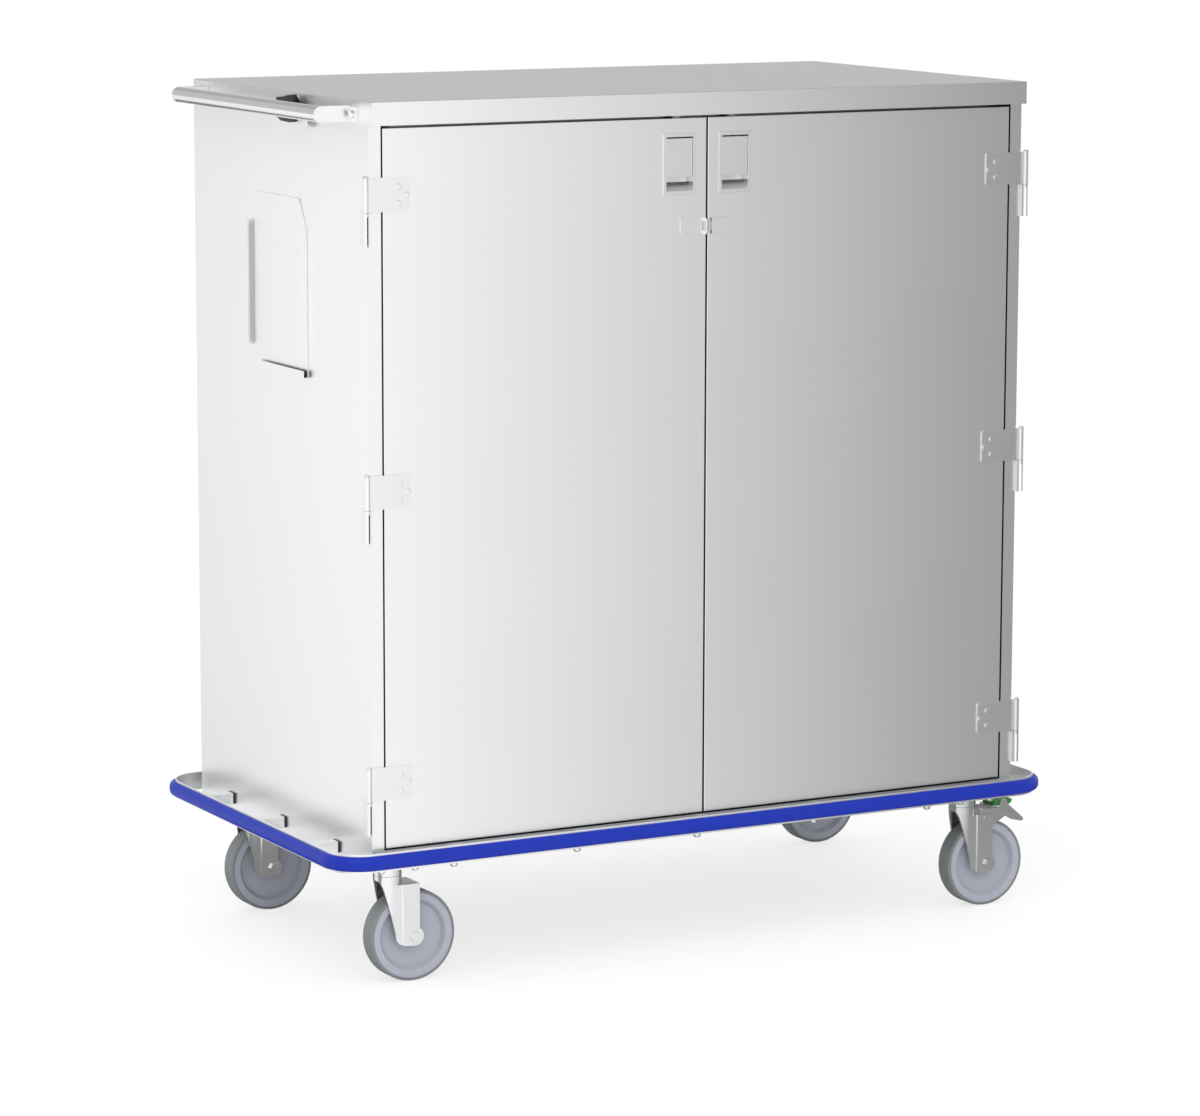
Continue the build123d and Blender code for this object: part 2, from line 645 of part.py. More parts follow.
def rivet_places():
    """Rivet centres of the right door's three hinge leaves, in X and Z."""
    columns = (RIVET_COLUMN, RIVET_OUTER_COLUMN, RIVET_COLUMN)
    return [(SIDE - column, top - drop) for top in HINGE_TOPS for column, drop in zip(columns, RIVET_DROPS)]


def door_hinge_leaves():
    """Right door's leaves: a plate on the door's face, curled into a barrel outside the corner."""
    leaves = []
    face = (FRONT - HINGE_LEAF_THICKNESS, FRONT)
    for top in HINGE_TOPS:
        bottom = top - HINGE_LEAF_HEIGHT
        leaf = block((SIDE - HINGE_LEAF_REACH, HINGE_X), face, (bottom, top))
        corners = edges_along(leaf, Axis.Y, lambda c: c.X < SIDE - HINGE_LEAF_REACH + 1)
        leaf = fillet(corners, HINGE_LEAF_CORNER)
        leaf += rod("z", (HINGE_X, HINGE_Y, bottom), HINGE_LEAF_HEIGHT, HINGE_BARREL_RADIUS)
        leaf -= rod("z", (HINGE_X, HINGE_Y, bottom), HINGE_LEAF_HEIGHT, HINGE_PIN_RADIUS + HINGE_CLEARANCE)
        for x, z in rivet_places():
            if bottom < z < top:
                leaf -= rod("y", (x, face[0], z), HINGE_LEAF_THICKNESS, RIVET_RADIUS)
        leaves.append(leaf)
    return leaves


def door_rivets():
    """Domed rivets through the right door's leaves and skin."""
    face = FRONT - HINGE_LEAF_THICKNESS
    rivets = []
    for x, z in rivet_places():
        head = rod("y", (x, face - RIVET_HEAD_HEIGHT, z), RIVET_HEAD_HEIGHT, RIVET_HEAD_RADIUS)
        head = fillet(head.edges().group_by(Axis.Y)[0], RIVET_HEAD_HEIGHT * DOME_SHARE)
        shank = rod("y", (x, face, z), HINGE_LEAF_THICKNESS + SHEET, RIVET_RADIUS)
        tail = rod("y", (x, FRONT + SHEET, z), RIVET_TAIL_HEIGHT, RIVET_TAIL_RADIUS)
        rivets.append(head + shank + tail)
    return rivets


def frame_hinge_leaves():
    """Right side's frame leaves: a plate on the side panel and a slotted knuckle under each door leaf."""
    leaves = []
    for top in HINGE_TOPS:
        bottom = top - HINGE_HEIGHT
        knuckle_top = top - HINGE_LEAF_HEIGHT - HINGE_KNUCKLE_GAP
        height = (bottom, knuckle_top)
        plate_y = (HINGE_Y - HINGE_LEAF_THICKNESS / 2, FRAME_FRONT + HINGE_FRAME_LEAF_DEPTH)
        leaf = block((SIDE, SIDE + HINGE_LEAF_THICKNESS), plate_y, height)
        web_y = (HINGE_Y - HINGE_LEAF_THICKNESS / 2, HINGE_Y + HINGE_LEAF_THICKNESS / 2)
        leaf += block((SIDE, HINGE_X), web_y, height)
        leaf += rod("z", (HINGE_X, HINGE_Y, bottom), knuckle_top - bottom, HINGE_BARREL_RADIUS)
        grip_bottom = knuckle_top - HINGE_PIN_GRIP
        leaf -= rod("z", (HINGE_X, HINGE_Y, grip_bottom), HINGE_PIN_GRIP, HINGE_PIN_RADIUS)
        slot_height = grip_bottom - bottom
        slot = Pos(HINGE_SLOT_OFFSET, 0, 0) * Box(HINGE_SLOT_WIDTH, 4 * HINGE_BARREL_RADIUS, slot_height)
        slot_centre = bottom + slot_height / 2
        leaf -= Pos(HINGE_X, HINGE_Y, slot_centre) * Rot(0, 0, -HINGE_SLOT_ANGLE) * slot
        leaves.append(leaf)
    return leaves


def hinge_pins():
    """Right side's headed hinge pins, held in the frame knuckles."""
    pins = []
    for top in HINGE_TOPS:
        start = top - HINGE_LEAF_HEIGHT - HINGE_KNUCKLE_GAP - HINGE_PIN_GRIP
        head_bottom = top + HINGE_HEAD_GAP
        shank = rod("z", (HINGE_X, HINGE_Y, start), head_bottom - start, HINGE_PIN_RADIUS)
        head = rod("z", (HINGE_X, HINGE_Y, head_bottom), HINGE_PIN_HEAD, HINGE_BARREL_RADIUS)
        head = fillet(head.edges().group_by(Axis.Z)[-1], HINGE_PIN_HEAD * DOME_SHARE)
        pins.append(shank + head)
    return pins


def door_stops():
    """Small rubber stops under the lid, over the outer ends of the doors."""
    x = (STOP_X - STOP_WIDTH / 2, STOP_X + STOP_WIDTH / 2)
    y = (STOP_Y - STOP_DEPTH / 2, STOP_Y + STOP_DEPTH / 2)
    return both_sides([block(x, y, (LID_BOTTOM - DOOR_TOP_GAP + 1, LID_BOTTOM))])


# Pulls, paddles and latches

def pull_body(y):
    """The outside of the right pull's dish between two depths."""
    half = PULL_WIDTH / 2 + PULL_WALL
    return block((PULL_X - half, PULL_X + half), y, (PULL_BOTTOM - PULL_WALL, PULL_TOP + PULL_WALL))


def pull_frame():
    """Right pull: bezel, dish with a sloped floor, and the paddle's pin."""
    half = PULL_WIDTH / 2
    rim = half + PULL_BEZEL
    bezel_z = (PULL_BOTTOM - PULL_BEZEL, PULL_TOP + PULL_BEZEL)
    bezel = block((PULL_X - rim, PULL_X + rim), (FRONT - PULL_BEZEL_THICKNESS, FRONT), bezel_z)
    bezel = fillet(bezel.edges().group_by(Axis.Y)[0], PULL_BEZEL_THICKNESS * BEZEL_DOME_SHARE)
    floor = FRONT + PULL_DEPTH
    dish = bezel + pull_body((FRONT, floor + PULL_WALL))
    face = FRONT - PULL_BEZEL_THICKNESS
    room = ((face, PULL_TOP), (floor, PULL_TOP), (floor, PULL_BOTTOM + PULL_RAMP_HEIGHT), (face, PULL_BOTTOM))
    dish -= slab_x(room, PULL_X - half, PULL_X + half)
    gap = BOLT_SLIDE_CLEARANCE
    slot_x = (PULL_X - BOLT_WIDTH / 2 - gap, PULL_X + BOLT_WIDTH / 2 + gap)
    dish -= block(slot_x, (BOLT_FRONT - gap, BOLT_BACK + gap), (PULL_TOP, PULL_TOP + PULL_WALL))
    pin_start = (PULL_X - half - PULL_WALL, PADDLE_AXIS_Y, PADDLE_AXIS_Z)
    pin = rod("x", pin_start, PULL_WIDTH + 2 * PULL_WALL, PADDLE_PIN_RADIUS)
    return [dish - pin, pin]


def paddle():
    """Right paddle: plate with a finger lip, hinge barrel and an arm that works the latch bolt."""
    half = PULL_WIDTH / 2 - PADDLE_GAP
    front = FRONT + PADDLE_SETBACK
    top = PADDLE_AXIS_Z + PADDLE_HEAD
    across = (PULL_X - half, PULL_X + half)
    bottom = top - PADDLE_LENGTH
    plate = block(across, (front, front + PADDLE_THICKNESS), (bottom, top))
    lip = block(across, (front, front + PADDLE_THICKNESS + PADDLE_LIP), (bottom, bottom + PADDLE_THICKNESS))
    barrel = rod("x", (across[0], PADDLE_AXIS_Y, PADDLE_AXIS_Z), 2 * half, PADDLE_BARREL_RADIUS)
    arm_x = (PULL_X - PADDLE_ARM_WIDTH / 2, PULL_X + PADDLE_ARM_WIDTH / 2)
    arm_z = (PADDLE_AXIS_Z - PADDLE_ARM_THICKNESS / 2, PADDLE_AXIS_Z + PADDLE_ARM_THICKNESS / 2)
    arm = block(arm_x, (PADDLE_AXIS_Y, PADDLE_AXIS_Y + PADDLE_ARM_REACH), arm_z)
    bore = rod("x", (across[0], PADDLE_AXIS_Y, PADDLE_AXIS_Z), 2 * half, PADDLE_PIN_RADIUS + HINGE_CLEARANCE)
    return plate + lip + barrel + arm - bore


def latch_bolt():
    """Right latch bolt, with a window that the paddle's arm reaches into."""
    half = BOLT_WIDTH / 2
    foot = PADDLE_AXIS_Z - BOLT_WINDOW_HALF_HEIGHT - BOLT_FOOT
    across = (PULL_X - half, PULL_X + half)
    bolt = block(across, (BOLT_FRONT, BOLT_BACK), (foot, LID_BOTTOM - BOLT_TOP_GAP))
    window_half = PADDLE_ARM_WIDTH / 2 + BOLT_WINDOW_SIDE
    window_z = (PADDLE_AXIS_Z - BOLT_WINDOW_HALF_HEIGHT, PADDLE_AXIS_Z + BOLT_WINDOW_HALF_HEIGHT)
    bolt -= block((PULL_X - window_half, PULL_X + window_half), (BOLT_FRONT, BOLT_BACK), window_z)
    return bolt


def latch_keepers():
    """Brackets under the lid, open to the front, that the bolts stand in."""
    inner = BOLT_WIDTH / 2 + KEEPER_SIDE_GAP
    outer = inner + KEEPER_SHEET
    back = BOLT_BACK + KEEPER_BACK_GAP
    z = (DOOR_TOP + KEEPER_LIFT, LID_BOTTOM)
    keeper = block((PULL_X - outer, PULL_X + outer), (BOLT_FRONT, back + KEEPER_SHEET), z)
    keeper -= block((PULL_X - inner, PULL_X + inner), (BOLT_FRONT, back), z)
    return both_sides([keeper])


def hasp_plate(length):
    """Right plate with its loop, of a given length."""
    z = (HASP_TOP - HASP_HEIGHT, HASP_TOP)
    plate = block((DOOR_INNER + FRAME_SETBACK, DOOR_INNER + length), (FRONT - HASP_THICKNESS, FRONT), z)
    corners = edges_along(plate, Axis.Y, lambda c: c.X > DOOR_INNER + length - 1)
    plate = fillet(corners, HASP_CORNER)
    loop_x = (LOOP_X - LOOP_THICKNESS / 2, LOOP_X + LOOP_THICKNESS / 2)
    loop = block(loop_x, (FRONT - LOOP_REACH, FRONT), z)
    loop = fillet(edges_along(loop, Axis.X, lambda c: c.Y < FRONT - LOOP_REACH + 1), LOOP_CORNER)
    middle = HASP_TOP - HASP_HEIGHT / 2
    slot_y = (FRONT - LOOP_SLOT_START - LOOP_SLOT_WIDTH, FRONT - LOOP_SLOT_START)
    slot = block(loop_x, slot_y, (middle - LOOP_SLOT_HEIGHT / 2, middle + LOOP_SLOT_HEIGHT / 2))
    slot = fillet(slot.edges().filter_by(Axis.X), LOOP_SLOT_CORNER)
    return plate + (loop - slot)


# Shelving

def slot_heights():
    """Centres of the slots in an upright, from the bottom up."""
    count = int((UPRIGHT_TOP - UPRIGHT_BOTTOM) // UPRIGHT_SLOT_PITCH)
    return [UPRIGHT_BOTTOM + UPRIGHT_SLOT_PITCH * (i + 0.5) for i in range(count)]


def shelf_uprights():
    """Four slotted channels on the side panels."""
    half = UPRIGHT_WIDTH / 2
    face = INSIDE - UPRIGHT_DEPTH
    slot_half = UPRIGHT_SLOT_HEIGHT / 2
    uprights = []
    for y in (-UPRIGHT_Y, UPRIGHT_Y):
        height = (UPRIGHT_BOTTOM, UPRIGHT_TOP)
        channel = block((face, INSIDE), (y - half, y + half), height)
        channel -= block((face + SHEET, INSIDE), (y - half + SHEET, y + half - SHEET), height)
        slot_y = (y - UPRIGHT_SLOT_WIDTH / 2, y + UPRIGHT_SLOT_WIDTH / 2)
        slots = [block((face, face + SHEET), slot_y, (z - slot_half, z + slot_half)) for z in slot_heights()]
        uprights.append(channel - slots)
    return both_sides(uprights)


def shelf_clips():
    """Clips that hook into the uprights, two at each end of each shelf."""
    face = INSIDE - UPRIGHT_DEPTH
    half = CLIP_WIDTH / 2
    tongue_half = UPRIGHT_SLOT_WIDTH / 2 - CLIP_TONGUE_GAP
    clips = []
    for slot in SHELF_SLOTS:
        z = slot_heights()[slot]
        tongue_z = (z - UPRIGHT_SLOT_HEIGHT / 2, z + UPRIGHT_SLOT_HEIGHT / 2 - CLIP_TONGUE_GAP)
        for y in (-UPRIGHT_Y, UPRIGHT_Y):
            clip_z = (tongue_z[0], tongue_z[0] + CLIP_HEIGHT)
            clip = block((face - CLIP_REACH, face), (y - half, y + half), clip_z)
            clip += block((face, face + CLIP_TONGUE), (y - tongue_half, y + tongue_half), tongue_z)
            clips += both_sides([clip])
    return clips


def shelves():
    """Folded sheet shelves that rest on the clips."""
    reach = INSIDE - UPRIGHT_DEPTH - SHELF_END_GAP
    half = SHELF_DEPTH / 2
    pieces = []
    for slot in SHELF_SLOTS:
        under = slot_heights()[slot] - UPRIGHT_SLOT_HEIGHT / 2 + CLIP_HEIGHT
        shelf = block((-reach, reach), (-half, half), (under, under + SHEET))
        for side in (-1, 1):
            edge = sorted((side * half, side * (half - SHEET)))
            fold = sorted((side * half, side * (half - SHELF_LIP_RETURN)))
            shelf += block((-reach, reach), edge, (under - SHELF_LIP, under))
            shelf += block((-reach, reach), fold, (under - SHELF_LIP, under - SHELF_LIP + SHEET))
        pieces.append(shelf)
    return pieces


# Handle, catches and card holder

def handle_bolt_places():
    """Bolts in the middle of the handle's two flanges, in Y."""
    return (HANDLE_FRONT - HANDLE_FLANGE / 2, HANDLE_BACK + HANDLE_FLANGE / 2)


def handle_tube():
    """Round push bar between the two brackets."""
    length = HANDLE_BACK - HANDLE_FRONT - 2 * HANDLE_LEG
    return rod("y", (HANDLE_X, HANDLE_FRONT + HANDLE_LEG, HANDLE_Z), length, HANDLE_RADIUS)


def handle_brackets():
    """Flat legs with round ends and a bolted flange, with their bolts and nuts."""
    height = (HANDLE_Z - HANDLE_RADIUS, HANDLE_Z + HANDLE_RADIUS)
    flange_height = (height[0] + HANDLE_FLANGE_TRIM, height[1] - HANDLE_FLANGE_TRIM)
    flange_x = (-SIDE - HANDLE_FLANGE_THICKNESS, -SIDE)
    front_flange = (HANDLE_FRONT - HANDLE_FLANGE, HANDLE_FRONT)
    back_flange = (HANDLE_BACK, HANDLE_BACK + HANDLE_FLANGE)
    legs = (HANDLE_FRONT, HANDLE_BACK - HANDLE_LEG)
    pieces = []
    for leg_y, flange_y, bolt_y in zip(legs, (front_flange, back_flange), handle_bolt_places()):
        leg = block((HANDLE_X, -SIDE), (leg_y, leg_y + HANDLE_LEG), height)
        leg += rod("y", (HANDLE_X, leg_y, HANDLE_Z), HANDLE_LEG, HANDLE_RADIUS)
        leg += block(flange_x, flange_y, flange_height)
        leg -= rod("x", (flange_x[0], bolt_y, HANDLE_Z), HANDLE_FLANGE_THICKNESS, HANDLE_BOLT_RADIUS)
        head_x = flange_x[0] - HANDLE_BOLT_HEAD
        head = rod("x", (head_x, bolt_y, HANDLE_Z), HANDLE_BOLT_HEAD, HANDLE_BOLT_HEAD_RADIUS)
        head = fillet(head.edges().group_by(Axis.X)[0], HANDLE_BOLT_HEAD * BOLT_DOME_SHARE)
        grip = HANDLE_FLANGE_THICKNESS + SHEET
        shank = rod("x", (flange_x[0], bolt_y, HANDLE_Z), grip, HANDLE_BOLT_RADIUS)
        nut = rod("x", (-INSIDE, bolt_y, HANDLE_Z), HANDLE_NUT_HEIGHT, HANDLE_NUT_RADIUS)
        pieces += [leg, head + shank + nut]
    return pieces


def catch_bracket():
    """Right catch: a steel channel on the side with a tab that hangs down, and its thin spring clip."""
    length = (FRONT + CATCH_START, FRONT + CATCH_END)
    foot_z = (DOOR_TOP, LID_BOTTOM + CATCH_FOOT_LIFT)
    foot = block((SIDE, SIDE + CATCH_SHEET), length, foot_z)
    shelf = block((SIDE, CATCH_OUTSIDE), length, (DOOR_TOP, CATCH_SHELF_TOP))
    plate_x = (CATCH_OUTSIDE - CATCH_SHEET, CATCH_OUTSIDE)
    plate_z = (DOOR_TOP - CATCH_PLATE_DROP, LID_BOTTOM + CATCH_PLATE_LIFT)
    plate = block(plate_x, (FRONT + CATCH_PLATE_START, length[1]), plate_z)
    tab_z = (DOOR_TOP - CATCH_TAB_DROP, CATCH_SHELF_TOP)
    tab = block(plate_x, (length[0], FRONT + CATCH_TAB_END), tab_z)
    tab = fillet(tab.edges().filter_by(Axis.X).group_by(Axis.Z)[0], CATCH_TAB_ROUNDING)
    clip_x = (CATCH_OUTSIDE, CATCH_OUTSIDE + CATCH_CLIP_SHEET)
    clip_y = (FRONT + CATCH_CLIP_START, FRONT + CATCH_CLIP_END)
    clip = block(clip_x, clip_y, (DOOR_TOP - CATCH_CLIP_DROP, CATCH_SHELF_TOP))
    return [foot + shelf + plate + tab, clip]


def catch_block():
    """Right catch's black block, on the steel channel."""
    outline = [(FRONT + y, LID_BOTTOM + z) for y, z in CATCH_BLOCK_BOTTOM + CATCH_BLOCK_TOP]
    return slab_x(outline, CATCH_OUTSIDE, CATCH_OUTSIDE + CATCH_BLOCK_THICKNESS)


def card_holder():
    """Left side's card holder: plate with cut top corners, two folded side lips and a bottom lip."""
    wide, narrow = CARD_HALF_WIDTH, CARD_TOP_HALF_WIDTH
    outline = (
        (-wide, CARD_BOTTOM), (-wide, CARD_CHAMFER_BOTTOM), (-narrow, CARD_TOP),
        (narrow, CARD_TOP), (wide, CARD_CHAMFER_BOTTOM), (wide, CARD_BOTTOM),
    )
    face = -SIDE - CARD_SHEET
    lip_face = face - CARD_LIP_DEPTH
    holder = slab_x(outline, face, -SIDE)
    lip_z = (CARD_LIP_BOTTOM, CARD_CHAMFER_BOTTOM)
    for side in (-1, 1):
        edge = sorted((side * wide, side * (wide - CARD_SHEET)))
        fold = sorted((side * wide, side * (wide - CARD_LIP_FOLD)))
        holder += block((lip_face, face), edge, lip_z)
        holder += block((lip_face, lip_face + CARD_SHEET), fold, lip_z)
    lip_y = (-wide, CARD_BOTTOM_LIP_BACK)
    holder += block((lip_face, face), lip_y, (CARD_BOTTOM, CARD_BOTTOM + CARD_SHEET))
    upturn = (CARD_BOTTOM, CARD_BOTTOM + CARD_BOTTOM_LIP_HEIGHT)
    holder += block((lip_face, lip_face + CARD_SHEET), lip_y, upturn)
    return holder


# Casters, each drawn with its swivel axis on the Z axis

def caster_plate():
    """Bolted top plate with the fixed half of the raceway."""
    outline = RectangleRounded(PLATE_WIDTH, PLATE_LENGTH, PLATE_CORNER)
    plate = Pos(0, 0, PLATE_BOTTOM) * extrude(outline, amount=PLATE_THICKNESS)
    plate += rod("z", (0, 0, HEAD_BOTTOM), HEAD_HEIGHT, HEAD_RADIUS)
    plate -= rod("z", (0, 0, HEAD_BOTTOM), HEAD_HEIGHT + PLATE_THICKNESS, KINGPIN_RADIUS)
    for x, y in plate_bolt_places(0, 0):
        plate -= rod("z", (x, y, PLATE_BOTTOM), PLATE_THICKNESS, BASE_BOLT_RADIUS)
    return plate


def kingpin():
    """Pin that the fork hangs on, with its nut under the roof of the fork's nose."""
    nut_top = ROOF_BOTTOM - KINGPIN_NUT_GAP
    nut = rod("z", (0, 0, nut_top - KINGPIN_NUT_HEIGHT), KINGPIN_NUT_HEIGHT, KINGPIN_NUT_RADIUS)
    return nut + rod("z", (0, 0, nut_top), BASE_BOTTOM - nut_top, KINGPIN_RADIUS)


def fork_plan(inset, back):
    """Plan outline of the fork: a round nose, then legs that step outwards."""
    nose = FORK_NOSE_RADIUS - inset
    leg = FORK_HALF_WIDTH - inset
    points = [(0, -nose), (FORK_STEP_START, -nose), (FORK_STEP_END, -leg), (back, -leg)]
    points += [(x, -y) for x, y in reversed(points)]
    return make_face(Polyline(*points, close=True)) + Circle(nose)


def fork(with_pedal):
    """Pressed fork: a hollow nose up to the raceway, legs cut back along the front, web and bores."""
    bottom = WHEEL_RADIUS - FORK_END_RADIUS
    body = Pos(0, 0, bottom) * extrude(fork_plan(0, FORK_BACK), amount=FORK_TOP - bottom)
    body += rod("z", (0, 0, FORK_TOP), RACEWAY_TOP - FORK_TOP, FORK_NOSE_RADIUS)
    room_top = FORK_TOP if with_pedal else FORK_TOP - FORK_SHEET
    room = Pos(0, 0, bottom) * extrude(fork_plan(FORK_SHEET, 2 * FORK_BACK), amount=room_top - bottom)
    room += rod("z", (0, 0, bottom), ROOF_BOTTOM - bottom, FORK_NOSE_RADIUS - FORK_SHEET)
    front = [(FORK_FRONT_EDGE[0][0], RACEWAY_TOP), *above_axle(FORK_FRONT_EDGE)]
    foot = [(FORK_FOOT_START, bottom + 1), (TRAIL, bottom)]
    foot += [(FORK_BACK, WHEEL_RADIUS), (FORK_BACK, RACEWAY_TOP)]
    side_view = slab_y(front + foot, -FORK_HALF_WIDTH, FORK_HALF_WIDTH)
    body = (body - room) & side_view
    for side in (-1, 1):
        start = min(side * FORK_HALF_WIDTH, side * (FORK_HALF_WIDTH - FORK_SHEET))
        body += rod("y", (TRAIL, start, WHEEL_RADIUS), FORK_SHEET, FORK_END_RADIUS)
    body -= rod("z", (0, 0, ROOF_BOTTOM), FORK_ROOF, KINGPIN_RADIUS + KINGPIN_CLEARANCE)
    body -= rod("y", (TRAIL, -FORK_HALF_WIDTH, WHEEL_RADIUS), 2 * FORK_HALF_WIDTH, AXLE_RADIUS)
    if with_pedal:
        start = (PEDAL_PIVOT_X, -FORK_HALF_WIDTH, PEDAL_PIVOT_Z)
        body -= rod("y", start, 2 * FORK_HALF_WIDTH, PEDAL_PIN_RADIUS + HINGE_CLEARANCE)
    return body


def axle():
    """Axle bolt with a hexagon head at the front, and its nut."""
    head = extrude(RegularPolygon(AXLE_HEAD_RADIUS, 6), amount=AXLE_HEAD)
    nut = extrude(RegularPolygon(AXLE_HEAD_RADIUS, 6), amount=AXLE_NUT_HEIGHT)
    head = Pos(TRAIL, -FORK_HALF_WIDTH, WHEEL_RADIUS) * Rot(90, 0, 0) * head
    nut = Pos(TRAIL, FORK_HALF_WIDTH + AXLE_NUT_HEIGHT, WHEEL_RADIUS) * Rot(90, 0, 0) * nut
    length = 2 * FORK_HALF_WIDTH + AXLE_NUT_HEIGHT + AXLE_END
    shank = rod("y", (TRAIL, -FORK_HALF_WIDTH, WHEEL_RADIUS), length, AXLE_RADIUS)
    return [head + shank, nut - shank]


def wheel_core():
    """Wheel centre with sunk faces, and its two bearing bushes."""
    hub, rim, web = HUB_LENGTH / 2, RIM_WIDTH / 2, WEB_WIDTH / 2
    half = [
        (BEARING_RADIUS, hub), (HUB_RADIUS, hub), (HUB_RADIUS, web), (WEB_RADIUS, web),
        (RIM_INNER_RADIUS, rim), (CORE_RADIUS, rim),
    ]
    outline = half + [(r, -y) for r, y in reversed(half)]
    section = make_face(Polyline(*[(r, y, 0) for r, y in outline], close=True))
    core = revolve(section, Axis.Y)
    pieces = [core]
    for start in (-hub, hub - BEARING_LENGTH):
        bush = rod("y", (0, start, 0), BEARING_LENGTH, BEARING_RADIUS)
        pieces.append(bush - rod("y", (0, start, 0), BEARING_LENGTH, AXLE_RADIUS + AXLE_CLEARANCE))
    return [Pos(TRAIL, 0, WHEEL_RADIUS) * piece for piece in pieces]


def tyre():
    """Grey rubber tread round the wheel centre."""
    start = (0, -TREAD_WIDTH / 2, 0)
    tread = rod("y", start, TREAD_WIDTH, WHEEL_RADIUS)
    tread = fillet(tread.edges().filter_by(GeomType.CIRCLE), TREAD_ROUNDING)
    return Pos(TRAIL, 0, WHEEL_RADIUS) * (tread - rod("y", start, TREAD_WIDTH, CORE_RADIUS))


def brake_pedal():
    """Lock lever between the fork's legs: two side plates, a bridge, a foot tread and the pivot pin."""
    outer = FORK_HALF_WIDTH - FORK_SHEET - PEDAL_SIDE_GAP
    inner = outer - PEDAL_SHEET
    side = above_axle(PEDAL_OUTLINE)
    lever = slab_y(side, -outer, -inner) + slab_y(side, inner, outer)
    lever += slab_y(above_axle(PEDAL_BRIDGE), -inner, inner)
    lever += slab_y(above_axle(PEDAL_TREAD), -inner, inner)
    reach = FORK_HALF_WIDTH + PEDAL_SIDE_GAP
    pin = rod("y", (PEDAL_PIVOT_X, -reach, PEDAL_PIVOT_Z), 2 * reach, PEDAL_PIN_RADIUS)
    lever -= pin
    for start in (-reach - PEDAL_PIN_HEAD, reach):
        pin += rod("y", (PEDAL_PIVOT_X, start, PEDAL_PIVOT_Z), PEDAL_PIN_HEAD, PEDAL_PIN_HEAD_RADIUS)
    return [lever, pin]


def brake_pad():
    """Green plastic pad on the lever's bridge."""
    return slab_y(above_axle(PAD_OUTLINE), -PAD_HALF_WIDTH, PAD_HALF_WIDTH)


# Writing the nodes

def save_pair(name, shapes):
    """Writes a right-hand set of solids and its left-hand mirror image."""
    save(f"right_{name}", *shapes)
    save(f"left_{name}", *[mirrored(shape) for shape in shapes])


def main():
    os.makedirs("parts", exist_ok=True)
    save("side_panel_right", side_panel())
    save("side_panel_left", mirrored(side_panel()))
    save("back_panel", back_panel())
    save("floor_pan", floor_pan())
    save("lid", lid())
    save("roof_frame", *roof_frame())
    save("base_frame", base_frame())
    save("base_bolts", *base_bolts())
    save("bumper_rail", bumper_rail())
    save("bumper_strip", bumper_strip())
    save("rail_stubs", *rail_stubs())
    save("stub_pads", *stub_pads())
    save("shelf_supports", *shelf_uprights(), *shelf_clips())
    save("shelves", *shelves())
    save("handle_tube", handle_tube())
    save("handle_brackets", *handle_brackets())
    save("card_holder", card_holder())
    save("frame_hinge_leaves", *both_sides(frame_hinge_leaves()))
    save("hinge_pins", *both_sides(hinge_pins()))
    save("door_stops", *door_stops())
    save("latch_keepers", *latch_keepers())
    save("hold_open_catches", *both_sides(catch_bracket()))
    save("hold_open_blocks", *both_sides([catch_block()]))

    save_pair("door_skin", [door_skin()])
    save_pair("door_liner", [door_liner()])
    save_pair("door_gasket", [door_gasket()])
    save_pair("hinge_leaves", door_hinge_leaves())
    save_pair("hinge_rivets", door_rivets())
    save_pair("pull_frame", pull_frame())
    save_pair("paddle", [paddle()])
    save_pair("latch_bolt", [latch_bolt()])
    save("right_hasp_plate", hasp_plate(HASP_RIGHT_LENGTH))
    save("left_hasp_plate", mirrored(hasp_plate(HASP_LEFT_LENGTH)))

    places = caster_places()
    save("caster_plates", *[Pos(x, y, 0) * caster_plate() for x, y in places.values()],
         *[Pos(x, y, 0) * kingpin() for x, y in places.values()])
    for name, (x, y) in places.items():
        here = Pos(x, y, 0)
        save(f"{name}_fork", here * fork(name == "front_right"))
        save(f"{name}_axle", *[here * piece for piece in axle()])
        save(f"{name}_wheel_core", *[here * piece for piece in wheel_core()])
        save(f"{name}_tyre", here * tyre())
        if name == "front_right":
            save("brake_pedal", *[here * piece for piece in brake_pedal()])
            save("brake_pad", here * brake_pad())


main()
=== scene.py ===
import bmesh
import bpy
import json
import math
from bpy.props import FloatProperty, FloatVectorProperty, PointerProperty
from mathutils import Matrix, Vector


